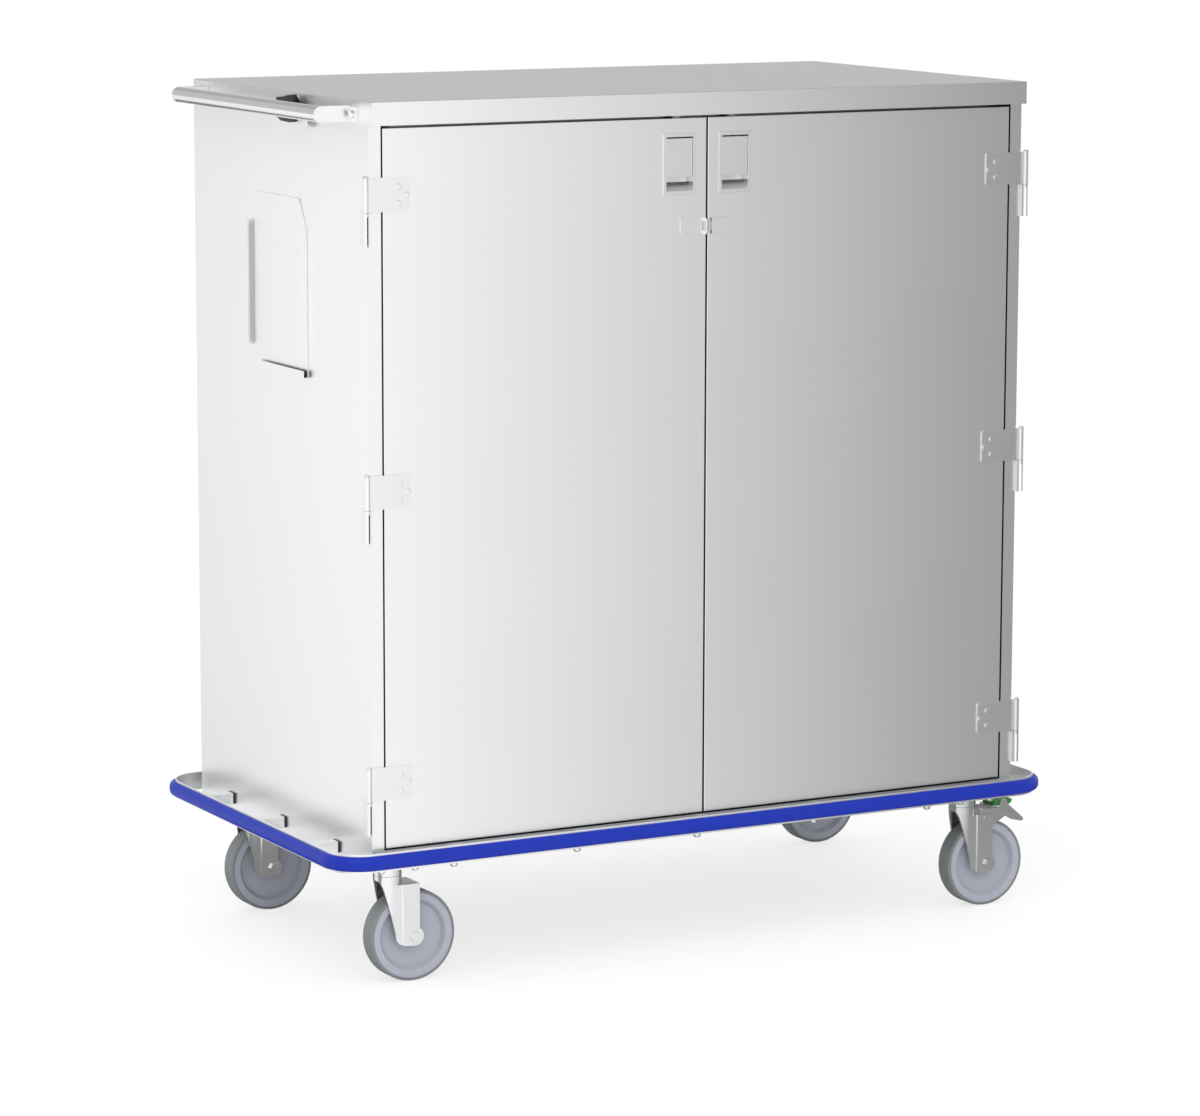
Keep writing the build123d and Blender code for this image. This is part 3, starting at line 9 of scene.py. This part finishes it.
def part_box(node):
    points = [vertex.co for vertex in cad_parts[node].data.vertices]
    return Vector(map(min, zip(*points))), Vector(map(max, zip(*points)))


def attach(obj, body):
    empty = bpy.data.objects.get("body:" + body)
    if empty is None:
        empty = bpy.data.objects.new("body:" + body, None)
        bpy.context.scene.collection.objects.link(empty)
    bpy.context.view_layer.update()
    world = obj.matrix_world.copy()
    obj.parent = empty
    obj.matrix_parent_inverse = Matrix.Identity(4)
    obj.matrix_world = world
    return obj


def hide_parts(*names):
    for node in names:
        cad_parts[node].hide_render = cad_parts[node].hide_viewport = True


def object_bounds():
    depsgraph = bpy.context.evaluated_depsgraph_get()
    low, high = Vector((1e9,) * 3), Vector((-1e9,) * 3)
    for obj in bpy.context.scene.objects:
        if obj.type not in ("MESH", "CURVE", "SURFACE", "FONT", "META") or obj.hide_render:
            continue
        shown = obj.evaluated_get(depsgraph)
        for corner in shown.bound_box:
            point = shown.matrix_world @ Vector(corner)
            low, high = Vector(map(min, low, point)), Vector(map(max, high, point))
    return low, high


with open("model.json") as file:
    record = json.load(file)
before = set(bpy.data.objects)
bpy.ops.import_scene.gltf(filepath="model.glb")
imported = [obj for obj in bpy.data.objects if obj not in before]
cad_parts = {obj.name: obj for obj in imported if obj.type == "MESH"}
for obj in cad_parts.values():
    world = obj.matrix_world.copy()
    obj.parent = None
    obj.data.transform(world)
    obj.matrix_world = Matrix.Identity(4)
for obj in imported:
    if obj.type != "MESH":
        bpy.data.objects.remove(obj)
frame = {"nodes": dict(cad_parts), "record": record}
CAD_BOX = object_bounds()

bl_info = {
    "name": "Closed case cart",
    "version": (1, 0, 0),
    "blender": (4, 5, 0),
    "location": "3D View > Sidebar > Case cart",
    "description": "Dresses the closed case cart and sets its studio",
    "category": "Object",
}

CASTERS = ("front_left", "front_right", "back_left", "back_right")


def linear(hex_colour):
    """An sRGB hex colour as linear red, green and blue."""
    parts = [int(hex_colour[i:i + 2], 16) / 255 for i in (1, 3, 5)]
    return tuple(c / 12.92 if c <= 0.04045 else ((c + 0.055) / 1.055) ** 2.4 for c in parts)


def colour(hex_colour, name, words):
    return FloatVectorProperty(name=name, description=words, subtype="COLOR", min=0, max=1,
                               default=linear(hex_colour))


def length(metres, name, words):
    return FloatProperty(name=name, description=words, subtype="DISTANCE", unit="LENGTH", min=0,
                         default=metres)


class CartSizes(bpy.types.PropertyGroup):
    """Sizes of the finishing details."""
    edge: length(0.0006, "Sheet edge", "Rounding of cut and folded sheet edges")
    cast_edge: length(0.0008, "Cast edge", "Rounding of cast and forged edges")
    moulded_edge: length(0.0016, "Moulded edge", "Rounding of moulded plastic and rubber edges")
    grain: length(0.0016, "Satin grain", "Width of a satin stroke, drawn coarser than real")
    wheel_radius: length(0.075, "Wheel radius", "Radius over the tread")
    tread_corner: length(0.004, "Tread corner", "Rounding of the tread's shoulders")
    bumper_round: length(0.0093, "Bumper rounding", "Rounding of the bumper's outer edges")
    bumper_corner: length(0.067, "Bumper corner", "Radius of the bumper's corners from above")


class CartColours(bpy.types.PropertyGroup):
    """Colours of the finishes."""
    satin: colour("#F4F5F6", "Satin stainless", "Sheet of the doors, sides and lid")
    cast: colour("#EFF0F1", "Cast stainless", "Hinges, pins and paddles")
    dish: colour("#EFF0F1", "Pressed stainless", "Dishes of the pulls")
    zinc: colour("#EAEBEC", "Zinc plate", "Forks, plates and bolts")
    blue: colour("#142FA8", "Bumper blue", "Strip round the base")
    tread: colour("#7F8385", "Tread grey", "Rubber of the wheels")
    wheel: colour("#A9ABB6", "Wheel grey", "Nylon wheel centres")
    black: colour("#1B1B1C", "Black", "Catch blocks, pads and seals")
    green: colour("#2E8B35", "Pedal green", "Pad of the lock pedal")
    floor: colour("#FAFAFA", "Floor", "Studio floor")


# Materials

# The sheet's slow change of brightness: its size in metres and its darkest share.
CLOUD_SIZE = 0.35
CLOUD_SHARE = 0.97
# Painted shade: slots narrower than the reach, in metres, get a darkened base colour for the shade
# in them. They are darkest where they are closed and bright again where they are open. The darkest
# keeps this share of its brightness.
SHADE_REACH = 0.014
CLOSED = 0.05
OPEN = 0.50
PAINTED_SHADE_SHARE = 0.12
OPENNESS_SAMPLES = 8


def add_node(tree, kind, settings=None, **links):
    """Adds a node with its settings and inputs, named or as i0, i1 and on by their number.

    An input is a value or another node's output.
    """
    node = tree.nodes.new(kind)
    for key, value in (settings or {}).items():
        setattr(node, key, value)
    for key, value in links.items():
        by_number = key[0] == "i" and key[1:].isdigit()
        socket = node.inputs[int(key[1:]) if by_number else key.replace("_", " ")]
        if isinstance(value, bpy.types.NodeSocket):
            tree.links.new(value, socket)
        else:
            socket.default_value = value
    return node


def new_material(name, base, **constants):
    """A Principled material with its constants on the shader's own sockets."""
    material = bpy.data.materials.new(name)
    material.use_nodes = True
    shader = material.node_tree.nodes["Principled BSDF"]
    shader.inputs["Base Color"].default_value = (*base, 1)
    for key, value in constants.items():
        shader.inputs[key.replace("_", " ")].default_value = value
    return material, material.node_tree, shader


def shade(tree, shader, base, pattern, darker):
    """Varies the base colour a little with a pattern."""
    ramp = add_node(tree, "ShaderNodeMix", {"data_type": "RGBA"}, i0=pattern,
                    i6=(*(c * darker for c in base), 1), i7=(*base, 1))
    tree.links.new(ramp.outputs[2], shader.inputs["Base Color"])


def rough(tree, shader, pattern, low, high):
    """Varies the roughness with a pattern."""
    span = add_node(tree, "ShaderNodeMapRange", i0=pattern, i3=low, i4=high)
    tree.links.new(span.outputs[0], shader.inputs["Roughness"])


def bump(tree, shader, pattern, strength, depth):
    """Raises the surface with a pattern."""
    node = add_node(tree, "ShaderNodeBump", Strength=strength, Distance=depth, Height=pattern)
    tree.links.new(node.outputs[0], shader.inputs["Normal"])


def noise(tree, size, stretch=(1, 1, 1), detail=3.0):
    """Noise with features of a real size in metres, stretched along an axis."""
    place = add_node(tree, "ShaderNodeTexCoord")
    turned = add_node(tree, "ShaderNodeMapping", Vector=place.outputs["Object"], Scale=stretch)
    grains = add_node(tree, "ShaderNodeTexNoise", Vector=turned.outputs[0], Scale=1 / size,
                      Detail=detail)
    return grains.outputs[0]


def crevice(tree, reach):
    """How open a place is, from 0 deep in a slot or corner to 1 on an open face."""
    node = add_node(tree, "ShaderNodeAmbientOcclusion", {"samples": OPENNESS_SAMPLES},
                    Distance=reach)
    return node.outputs["AO"]


def satin_stainless(name, base, grain, low, high, stretch):
    """Stainless with a fine satin grain: a sheen that streaks along the grain, and painted shade
    in slots and corners.
    """
    material, tree, shader = new_material(name, base, Metallic=1.0)
    strokes = noise(tree, grain, stretch)
    clouds = noise(tree, CLOUD_SIZE, detail=1.0)
    cloudy = add_node(tree, "ShaderNodeMapRange", i0=clouds, i3=CLOUD_SHARE, i4=1.0)
    # Painted shade: the base colour darkens where ambient occlusion finds the surface closed in.
    painted_shade = add_node(tree, "ShaderNodeMapRange", i0=crevice(tree, SHADE_REACH),
                      i1=CLOSED, i2=OPEN, i3=PAINTED_SHADE_SHARE, i4=1.0)
    tone_and_painted_shade = add_node(tree, "ShaderNodeMath", {"operation": "MULTIPLY"},
                    i0=cloudy.outputs[0], i1=painted_shade.outputs[0])
    tint = add_node(tree, "ShaderNodeMix", {"data_type": "RGBA"},
                    i0=tone_and_painted_shade.outputs[0], i6=(0, 0, 0, 1), i7=(*base, 1))
    tree.links.new(tint.outputs[2], shader.inputs["Base Color"])
    rough(tree, shader, strokes, low, high)
    bump(tree, shader, strokes, 0.03, 0.0002)
    return material


def plated_steel(name, base, low, high):
    """Bright zinc plate: softer than sheet, with a faint mottle."""
    material, tree, shader = new_material(name, base, Metallic=1.0)
    mottle = noise(tree, 0.004)
    shade(tree, shader, base, mottle, 0.96)
    rough(tree, shader, mottle, low, high)
    bump(tree, shader, mottle, 0.03, 0.0002)
    return material


def moulded(name, base, low, high, darker=0.93, grain=0.0015, sheen=0.5):
    """Moulded rubber or plastic: an even colour with a faint moulded texture."""
    material, tree, shader = new_material(name, base, Metallic=0.0, Specular_IOR_Level=sheen)
    skin = noise(tree, grain)
    shade(tree, shader, base, noise(tree, 0.03), darker)
    rough(tree, shader, skin, low, high)
    bump(tree, shader, skin, 0.1, 0.0001)
    return material


def make_materials(colours, sizes):
    """Every finish of the cart, by the record's slot names."""
    grain = sizes.grain
    across = (0.04, 0.04, 1.0)
    along_bar = (1, 0.05, 1)
    even = (1, 1, 1)
    return {
        # Satin stainless sheet: bright grey, with grain that runs level on the doors and sides.
        "stainless_sheet": satin_stainless(
            "satin_stainless_sheet", colours.satin, grain, 0.30, 0.36, across),
        # Pressed stainless dish of the pulls: the same steel, drawn and a little duller.
        "dark_steel": satin_stainless(
            "pressed_stainless_dish", colours.dish, grain, 0.34, 0.42, across),
        # Satin stainless tube: grain along the bar, brighter than the sheet.
        "polished_tube": satin_stainless(
            "satin_stainless_tube", colours.satin, grain, 0.13, 0.19, along_bar),
        # Cast stainless with the same satin finish as the sheet: hinges, pins, rivets and paddles.
        "cast_stainless": satin_stainless(
            "satin_cast_stainless", colours.cast, grain, 0.30, 0.38, even),
        # Bright zinc plate on pressed steel: forks, plates, pedal and bolts.
        "zinc_steel": plated_steel("bright_zinc_plate", colours.zinc, 0.10, 0.17),
        # Smooth blue moulded vinyl strip.
        "blue_rubber": moulded("blue_vinyl_strip", colours.blue, 0.36, 0.44, sheen=0.18),
        # Matt black rubber of the seals and stops.
        "black_rubber": moulded("black_seal_rubber", colours.black, 0.6, 0.75),
        # Black moulded nylon of the catch blocks and pads.
        "black_plastic": moulded("black_moulded_nylon", colours.black, 0.38, 0.5),
        # Smooth grey nylon wheel centres.
        "grey_plastic": moulded("grey_nylon_wheel", colours.wheel, 0.32, 0.42, 0.96),
        # Grey non-marking rubber tread.
        "grey_rubber": moulded("grey_tread_rubber", colours.tread, 0.5, 0.62),
        # Green moulded plastic of the pedal pad.
        "green_plastic": moulded("green_moulded_plastic", colours.green, 0.3, 0.4),
    }


def material_of(slot):
    """The finish for a slot of the record, made once."""
    names = bpy.context.scene.get("cart_materials")
    if names is None:
        scene = bpy.context.scene
        made = make_materials(scene.cart_colours, scene.cart_sizes)
        scene["cart_materials"] = {key: value.name for key, value in made.items()}
        names = scene["cart_materials"]
    return bpy.data.materials[names[slot]]


# Shaping

SLOT_OF = {row["node"]: row["material_slot"] for row in frame["record"]["subparts"]}
BODIES = frame["record"]["behaviour"]["bodies"]
BODY_OF = {node: body for body, nodes in BODIES.items() for node in nodes}


def object_mode():
    """Back to object mode with nothing selected."""
    if bpy.context.object and bpy.context.object.mode != "OBJECT":
        bpy.ops.object.mode_set(mode="OBJECT")
    bpy.ops.object.select_all(action="DESELECT")


def edit(piece, kind="FACE"):
    """Into edit mode on one piece with nothing selected."""
    object_mode()
    piece.select_set(True)
    bpy.context.view_layer.objects.active = piece
    bpy.ops.object.mode_set(mode="EDIT")
    bpy.ops.mesh.select_mode(type=kind)
    bpy.ops.mesh.select_all(action="DESELECT")
    return bmesh.from_edit_mesh(piece.data)


def pick(piece, kind, test):
    """Selects the vertices, edges or faces of a piece in edit mode that pass a test."""
    mesh = edit(piece, kind)
    items = {"VERT": mesh.verts, "EDGE": mesh.edges, "FACE": mesh.faces}[kind]
    for item in items:
        if test(item):
            item.select_set(True)
    mesh.select_flush_mode()
    bmesh.update_edit_mesh(piece.data)


def middle(edge):
    return (edge.verts[0].co + edge.verts[1].co) / 2


def apply_modifier(piece, kind, **settings):
    """Adds a modifier and applies it."""
    object_mode()
    bpy.context.view_layer.objects.active = piece
    piece.select_set(True)
    modifier = piece.modifiers.new(kind.title(), kind)
    for key, value in settings.items():
        setattr(modifier, key, value)
    bpy.ops.object.modifier_apply(modifier=modifier.name)


def settle(piece, name, node, smooth=35.0):
    """Puts a finished piece at the origin, smooths it, and lets it stand for a CAD node."""
    object_mode()
    piece.select_set(True)
    bpy.context.view_layer.objects.active = piece
    bpy.ops.object.transform_apply(location=True, rotation=True, scale=True)
    bpy.ops.object.shade_smooth_by_angle(angle=math.radians(smooth))
    apply_modifier(piece, "WEIGHTED_NORMAL", keep_sharp=True, weight=100)
    piece.name = name
    piece.data.name = name
    piece.data.materials.clear()
    piece.data.materials.append(material_of(SLOT_OF[node]))
    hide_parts(node)
    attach(piece, BODY_OF[node])
    return piece


def softened(node, width, segments=2, angle=30.0):
    """A merged copy of a CAD node with its edges rounded as they come off the tools."""
    object_mode()
    source = frame["nodes"][node]
    piece = bpy.data.objects.new(node + "_finished", source.data.copy())
    bpy.context.scene.collection.objects.link(piece)
    edit(piece, "VERT")
    bpy.ops.mesh.select_all(action="SELECT")
    bpy.ops.mesh.remove_doubles(threshold=0.00001)
    bpy.ops.mesh.dissolve_limited(angle_limit=math.radians(1.0))
    bpy.ops.mesh.customdata_custom_splitnormals_clear()
    object_mode()
    apply_modifier(piece, "BEVEL", width=width, segments=segments, limit_method="ANGLE",
                   angle_limit=math.radians(angle), use_clamp_overlap=True, harden_normals=False)
    return settle(piece, node + "_finished", node)


class CART_OT_sheet_metal(bpy.types.Operator):
    """Gives every CAD node its finish, and leaves the large sheets as they are"""
    bl_idname = "cart.sheet_metal"
    bl_label = "Sheet metal and base finishes"

    def execute(self, context):
        for name, node in frame["nodes"].items():
            node.data.materials.clear()
            node.data.materials.append(material_of(SLOT_OF[name]))
        return {"FINISHED"}


class CART_OT_folded_parts(bpy.types.Operator):
    """Rounds the edges of the card holder, plates, pulls, paddles and base ring"""
    bl_idname = "cart.folded_parts"
    bl_label = "Folded parts"

    def execute(self, context):
        sizes = context.scene.cart_sizes
        for node in ("card_holder", "left_hasp_plate", "right_hasp_plate", "left_pull_frame",
                     "right_pull_frame", "left_paddle", "right_paddle", "bumper_rail",
                     "rail_stubs"):
            softened(node, sizes.edge)
        return {"FINISHED"}


class CART_OT_fittings(bpy.types.Operator):
    """Rounds the hinges, brackets, catches and caster ironwork"""
    bl_idname = "cart.fittings"
    bl_label = "Hinges, brackets and forks"

    def execute(self, context):
        sizes = context.scene.cart_sizes
        nodes = ["frame_hinge_leaves", "left_hinge_leaves", "right_hinge_leaves",
                 "handle_brackets", "hold_open_catches", "brake_pedal"]
        nodes += [f"{name}_fork" for name in CASTERS] + [f"{name}_axle" for name in CASTERS]
        for node in nodes:
            softened(node, sizes.cast_edge)
        for node in ("hold_open_blocks", "brake_pad"):
            softened(node, sizes.moulded_edge, 3)
        return {"FINISHED"}


class CART_OT_bumper(bpy.types.Operator):
    """Models the rounded blue strip round the base"""
    bl_idname = "cart.bumper"
    bl_label = "Bumper strip"

    def execute(self, context):
        sizes = context.scene.cart_sizes
        low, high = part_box("bumper_strip")
        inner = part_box("bumper_rail")[1]
        object_mode()
        bpy.ops.mesh.primitive_plane_add(size=1, location=(0, 0, low.z))
        strip = context.object
        edit(strip, "VERT")
        bpy.ops.mesh.select_all(action="SELECT")
        bpy.ops.transform.resize(value=(high.x - low.x, high.y - low.y, 1))
        bpy.ops.mesh.bevel(offset=sizes.bumper_corner, segments=18, affect="VERTICES")
        pick(strip, "FACE", lambda face: True)
        bpy.ops.mesh.inset(thickness=high.y - inner.y, use_even_offset=True)
        bpy.ops.mesh.delete(type="FACE")
        pick(strip, "FACE", lambda face: True)
        bpy.ops.mesh.extrude_region_move(TRANSFORM_OT_translate={"value": (0, 0, high.z - low.z)})
        pick(strip, "FACE", lambda face: True)
        bpy.ops.mesh.normals_make_consistent(inside=False)
        pick(strip, "EDGE", lambda edge: is_outer_rim(edge))
        bpy.ops.mesh.bevel(offset=sizes.bumper_round, segments=7, affect="EDGES")
        settle(strip, "bumper_strip_finished", "bumper_strip", 40)
        return {"FINISHED"}


def is_outer_rim(edge):
    """Whether an edge is level, between a level and an upright face, on the strip's outside."""
    if len(edge.link_faces) != 2 or abs(edge.verts[0].co.z - edge.verts[1].co.z) > 1e-5:
        return False
    sides = [face for face in edge.link_faces if abs(face.normal.z) < 0.5]
    if len(sides) != 1:
        return False
    return sides[0].normal.dot(Vector((*middle(edge).xy, 0))) > 0


class CART_OT_wheels(bpy.types.Operator):
    """Models one tread and one wheel centre, and copies them to the four casters"""
    bl_idname = "cart.wheels"
    bl_label = "Wheels"

    def execute(self, context):
        tread = model_tread(context.scene.cart_sizes)
        centre = model_centre()
        for name in CASTERS:
            for piece, part in ((tread, "tyre"), (centre, "wheel_core")):
                node = f"{name}_{part}"
                low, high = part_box(node)
                copy = bpy.data.objects.new(node + "_finished", piece.data.copy())
                context.scene.collection.objects.link(copy)
                copy.location = (low + high) / 2
                settle(copy, node + "_finished", node, 40)
        for piece in (tread, centre):
            bpy.data.objects.remove(piece)
        return {"FINISHED"}


# How close, in metres, a vertex lies to a circle that it belongs to.
NEAR = 3e-4
# How far the wheel centre's rim stands inside the tread's side.
RIM_SET_BACK = 0.0005
# Rounding of the wheel centre's moulded steps.
RIM_EDGE = 0.0006
# The steps of the wheel centre's side, from the rim to the bore: how far in and how far out.
CENTRE_STEPS = (
    (0.0110, 0.0), (0.0015, -0.0012), (0.0040, -0.0080), (0.0300, -0.0004), (0.0030, 0.0015),
    (0.0015, 0.0110), (0.0060, 0.0), (0.0010, -0.0015), (0.0069, 0.0),
)


def drum(radius, width, name):
    """A drum across Y to shape a wheel part from, at the origin."""
    object_mode()
    bpy.ops.mesh.primitive_cylinder_add(vertices=128, radius=radius, depth=width,
                                        location=(0, 0, 0), rotation=(math.radians(90), 0, 0))
    bpy.ops.object.transform_apply(location=True, rotation=True, scale=True)
    piece = bpy.context.object
    piece.name = name
    return piece


def ends(piece, reach):
    """Picks the two flat end faces inside a radius."""
    pick(piece, "FACE", lambda face: abs(face.normal.y) > 0.95 and len(face.verts) > 60
         and max(vert.co.xz.length for vert in face.verts) < reach)


def round_edges(piece, radius, out, offset, segments):
    """Rounds the circles at a radius and a distance from the middle plane."""
    pick(piece, "EDGE", lambda edge: all(
        abs(vert.co.xz.length - radius) < NEAR and abs(abs(vert.co.y) - out) < NEAR
        for vert in edge.verts))
    bpy.ops.mesh.bevel(offset=offset, segments=segments, affect="EDGES")


def model_tread(sizes):
    """The rubber tread: a ring with rounded shoulders."""
    low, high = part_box("front_left_tyre")
    core_low, core_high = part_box("front_left_wheel_core")
    half = (high.y - low.y) / 2
    core = (core_high.x - core_low.x) / 2
    ring = drum(sizes.wheel_radius, 2 * half, "tread")
    ends(ring, 1)
    bpy.ops.mesh.inset(thickness=sizes.wheel_radius - core)
    ends(ring, core + 0.001)
    bpy.ops.mesh.bridge_edge_loops()
    round_edges(ring, sizes.wheel_radius, half, sizes.tread_corner, 5)
    return ring


def model_centre():
    """The moulded wheel centre: a rim, a dished web, a hub and a bearing seat, bored through."""
    low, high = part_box("front_left_wheel_core")
    tread_low, tread_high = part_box("front_left_tyre")
    radius = (high.x - low.x) / 2
    rim = (tread_high.y - tread_low.y) / 2 - RIM_SET_BACK
    piece = drum(radius, 2 * rim, "centre")
    reach = radius + 0.001
    for inward, outward in CENTRE_STEPS:
        ends(piece, reach)
        bpy.ops.mesh.inset(thickness=inward, depth=outward)
        reach = reach - inward
    ends(piece, reach + 0.0005)
    bpy.ops.mesh.bridge_edge_loops()
    apply_modifier(piece, "BEVEL", width=RIM_EDGE, segments=2, limit_method="ANGLE",
                   angle_limit=math.radians(25), use_clamp_overlap=True)
    return piece


class CART_OT_stage(bpy.types.Operator):
    """Sets the floor, the soft light, the reflector cards and the camera"""
    bl_idname = "cart.stage"
    bl_label = "Studio"

    def execute(self, context):
        scene = context.scene
        object_mode()
        bpy.ops.mesh.primitive_plane_add(size=60, location=(0, 10, 0))
        floor = context.object
        floor.name = "studio_floor"
        floor.data.materials.append(floor_paint(scene.cart_colours.floor))

        for row in REFLECTORS:
            reflector(*row)

        world = bpy.data.worlds.new("soft_white_room")
        scene.world = world
        world.use_nodes = True
        world.node_tree.nodes["Background"].inputs[0].default_value = (1, 1, 1, 1)
        world.node_tree.nodes["Background"].inputs[1].default_value = 1.0

        bpy.ops.object.light_add(type="AREA", location=(-2.5, -4.0, 5.5))
        lamp = context.object
        lamp.name = "soft_overhead"
        lamp.data.shape = "RECTANGLE"
        lamp.data.size, lamp.data.size_y = 6.0, 5.0
        lamp.data.energy = 160
        aim(lamp, Vector((0, 0, 0.7)))

        camera = bpy.data.objects.new("camera", bpy.data.cameras.new("camera"))
        scene.collection.objects.link(camera)
        camera.data.lens, camera.data.sensor_width = CAMERA_LENS, CAMERA_SENSOR
        yaw, pitch, roll = (math.radians(angle) for angle in CAMERA_ANGLES)
        ahead = Vector((math.sin(yaw) * math.cos(pitch), math.cos(yaw) * math.cos(pitch),
                        -math.sin(pitch)))
        level_right = Vector((math.cos(yaw), -math.sin(yaw), 0))
        level_up = level_right.cross(ahead)
        right = math.cos(roll) * level_right + math.sin(roll) * level_up
        up = right.cross(ahead)
        camera.matrix_world = Matrix((right, up, -ahead)).transposed().to_4x4()
        camera.location = CAMERA_PLACE
        camera.data.clip_end = 200
        scene.camera = camera
        scene.view_settings.view_transform = "Standard"
        return {"FINISHED"}


def aim(thing, target):
    """Turns a lamp to face a point."""
    thing.rotation_euler = (target - thing.location).to_track_quat("-Z", "Y").to_euler()


def floor_paint(base):
    """Matt white paint: the camera sees it nearly white, with a faint shadow under the cart."""
    paint, tree, shader = new_material("matt_white_floor", base, Roughness=0.9)
    shader.inputs["Specular IOR Level"].default_value = 0.2
    shader.inputs["Emission Color"].default_value = (1, 1, 1, 1)
    path = add_node(tree, "ShaderNodeLightPath")
    specks = noise(tree, 0.5)
    pale = add_node(tree, "ShaderNodeMix", {"data_type": "RGBA"}, i0=specks,
                    i6=(*(c * 0.99 for c in base), 1), i7=(*base, 1))
    seen = add_node(tree, "ShaderNodeMix", {"data_type": "RGBA"}, i0=path.outputs["Is Camera Ray"],
                    i6=pale.outputs[2], i7=(*(c * FLOOR_SHADOW_SHARE for c in base), 1))
    glow = add_node(tree, "ShaderNodeMath", {"operation": "MULTIPLY"},
                    i0=path.outputs["Is Camera Ray"], i1=1 - FLOOR_SHADOW_SHARE)
    tree.links.new(seen.outputs[2], shader.inputs["Base Color"])
    tree.links.new(glow.outputs[0], shader.inputs["Emission Strength"])
    return paint


# How much of the floor's brightness, as the camera sees it, comes from the light that falls on it.
FLOOR_SHADOW_SHARE = 0.28

# The camera of the studio: lens and sensor in millimetres, place in metres, and its yaw, pitch and
# roll in degrees.
CAMERA_LENS = 137.42
CAMERA_SENSOR = 36.0
CAMERA_PLACE = (-3.6832, -6.7322, 1.8738)
CAMERA_ANGLES = (28.604, 9.360, 0.139)

# The run of brightness that the cart's front mirrors: place along X in metres, and brightness.
FRONT_GRADE = ((-0.90, 1.14), (0.76, 0.30))


def even_light(level):
    """The same brightness all along a reflector."""
    return ((-1.0, level), (1.0, level))


# Studio reflectors: a name, the middle, width and height in metres, how the sheet is turned in
# degrees, its brightness at two places along X, and how far those places slant with Y, so that the
# front of the cart mirrors the same grade on all of them.
REFLECTORS = (
    ("front_reflector", (0.4, -1.15, 1.0), (4.4, 2.0), (90, 0, 0), FRONT_GRADE, 0.55),
    ("front_floor_reflector", (0.4, -0.76, 0.004), (4.4, 0.78), (0, 0, 0), FRONT_GRADE, 0.55),
    ("under_reflector", (1.0, 0.115, 0.003), (4.0, 0.97), (0, 0, 0), even_light(0.25), 0.0),
    ("low_left_reflector", (-1.375, -0.675, 0.065), (1.275, 0.13), (90, 0, 48),
     even_light(0.35), 0.0),
    ("side_reflector", (-0.95, 1.0, 0.68), (2.4, 1.36), (90, 0, 90),
     ((-0.195, 1.02), (0.475, 0.88)), 1.0),
    ("high_side_reflector", (-0.95, 1.0, 1.78), (2.4, 0.84), (90, 0, 90), even_light(0.55), 0.0),
    ("back_floor_reflector", (-0.3, 2.7, 0.003), (2.4, 3.0), (0, 0, 0), even_light(0.2), 0.0),
    ("back_reflector", (2.0, 5.5, 3.475), (16.0, 4.05), (90, 0, 0), even_light(0.63), 0.0),
    ("top_reflector", (1.0, -0.25, 3.2), (12.0, 11.5), (0, 0, 0), even_light(0.42), 0.0),
)


def reflector(name, centre, size, turn, levels, slant):
    """A studio reflector that shows only in reflections, graded from one end to the other."""
    object_mode()
    bpy.ops.mesh.primitive_plane_add(size=1, location=centre,
                                     rotation=[math.radians(angle) for angle in turn])
    sheet = bpy.context.object
    sheet.name = name
    sheet.scale = (*size, 1)
    bpy.ops.object.transform_apply(location=True, rotation=True, scale=True)
    # Matt paper lit evenly from behind, with an even grade across it.
    paper, tree, shader = new_material("lit_paper_" + name, (0, 0, 0), Roughness=1.0)
    shader.inputs["Specular IOR Level"].default_value = 0.0
    shader.inputs["Emission Color"].default_value = (1, 1, 1, 1)
    place = add_node(tree, "ShaderNodeTexCoord")
    axes = add_node(tree, "ShaderNodeSeparateXYZ", Vector=place.outputs["Object"])
    (start, first), (end, last) = levels
    front = CAD_BOX[0][1]
    back_off = add_node(tree, "ShaderNodeMath", {"operation": "ADD"},
                        i0=axes.outputs["Y"], i1=-front)
    run = add_node(tree, "ShaderNodeMath", {"operation": "MULTIPLY_ADD"},
                   i0=back_off.outputs[0], i1=slant, i2=axes.outputs["X"])
    grade = add_node(tree, "ShaderNodeMapRange",
                     i0=run.outputs[0], i1=start, i2=end, i3=first, i4=last)
    tree.links.new(grade.outputs[0], shader.inputs["Emission Strength"])
    sheet.data.materials.append(paper)
    sheet.visible_camera = False
    sheet.visible_diffuse = False
    sheet.visible_shadow = False


class CART_PT_panel(bpy.types.Panel):
    """Lists the cart's pieces, sizes and colours"""
    bl_idname = "CART_PT_panel"
    bl_label = "Closed case cart"
    bl_space_type = "VIEW_3D"
    bl_region_type = "UI"
    bl_category = "Case cart"

    def draw(self, context):
        for operator in OPERATORS:
            self.layout.operator(operator.bl_idname)
        for group in (context.scene.cart_sizes, context.scene.cart_colours):
            for key in group.bl_rna.properties.keys():
                if key not in ("rna_type", "name"):
                    self.layout.prop(group, key)


OPERATORS = (CART_OT_sheet_metal, CART_OT_folded_parts, CART_OT_fittings, CART_OT_bumper,
             CART_OT_wheels, CART_OT_stage)
CLASSES = (CartSizes, CartColours, *OPERATORS, CART_PT_panel)


def register():
    for cls in CLASSES:
        bpy.utils.register_class(cls)
    bpy.types.Scene.cart_sizes = PointerProperty(type=CartSizes)
    bpy.types.Scene.cart_colours = PointerProperty(type=CartColours)


def unregister():
    del bpy.types.Scene.cart_colours
    del bpy.types.Scene.cart_sizes
    for cls in reversed(CLASSES):
        bpy.utils.unregister_class(cls)


def main():
    register()
    bpy.ops.cart.sheet_metal()
    bpy.ops.cart.folded_parts()
    bpy.ops.cart.fittings()
    bpy.ops.cart.bumper()
    bpy.ops.cart.wheels()
    bpy.ops.cart.stage()


if __name__ == "__main__":
    main()
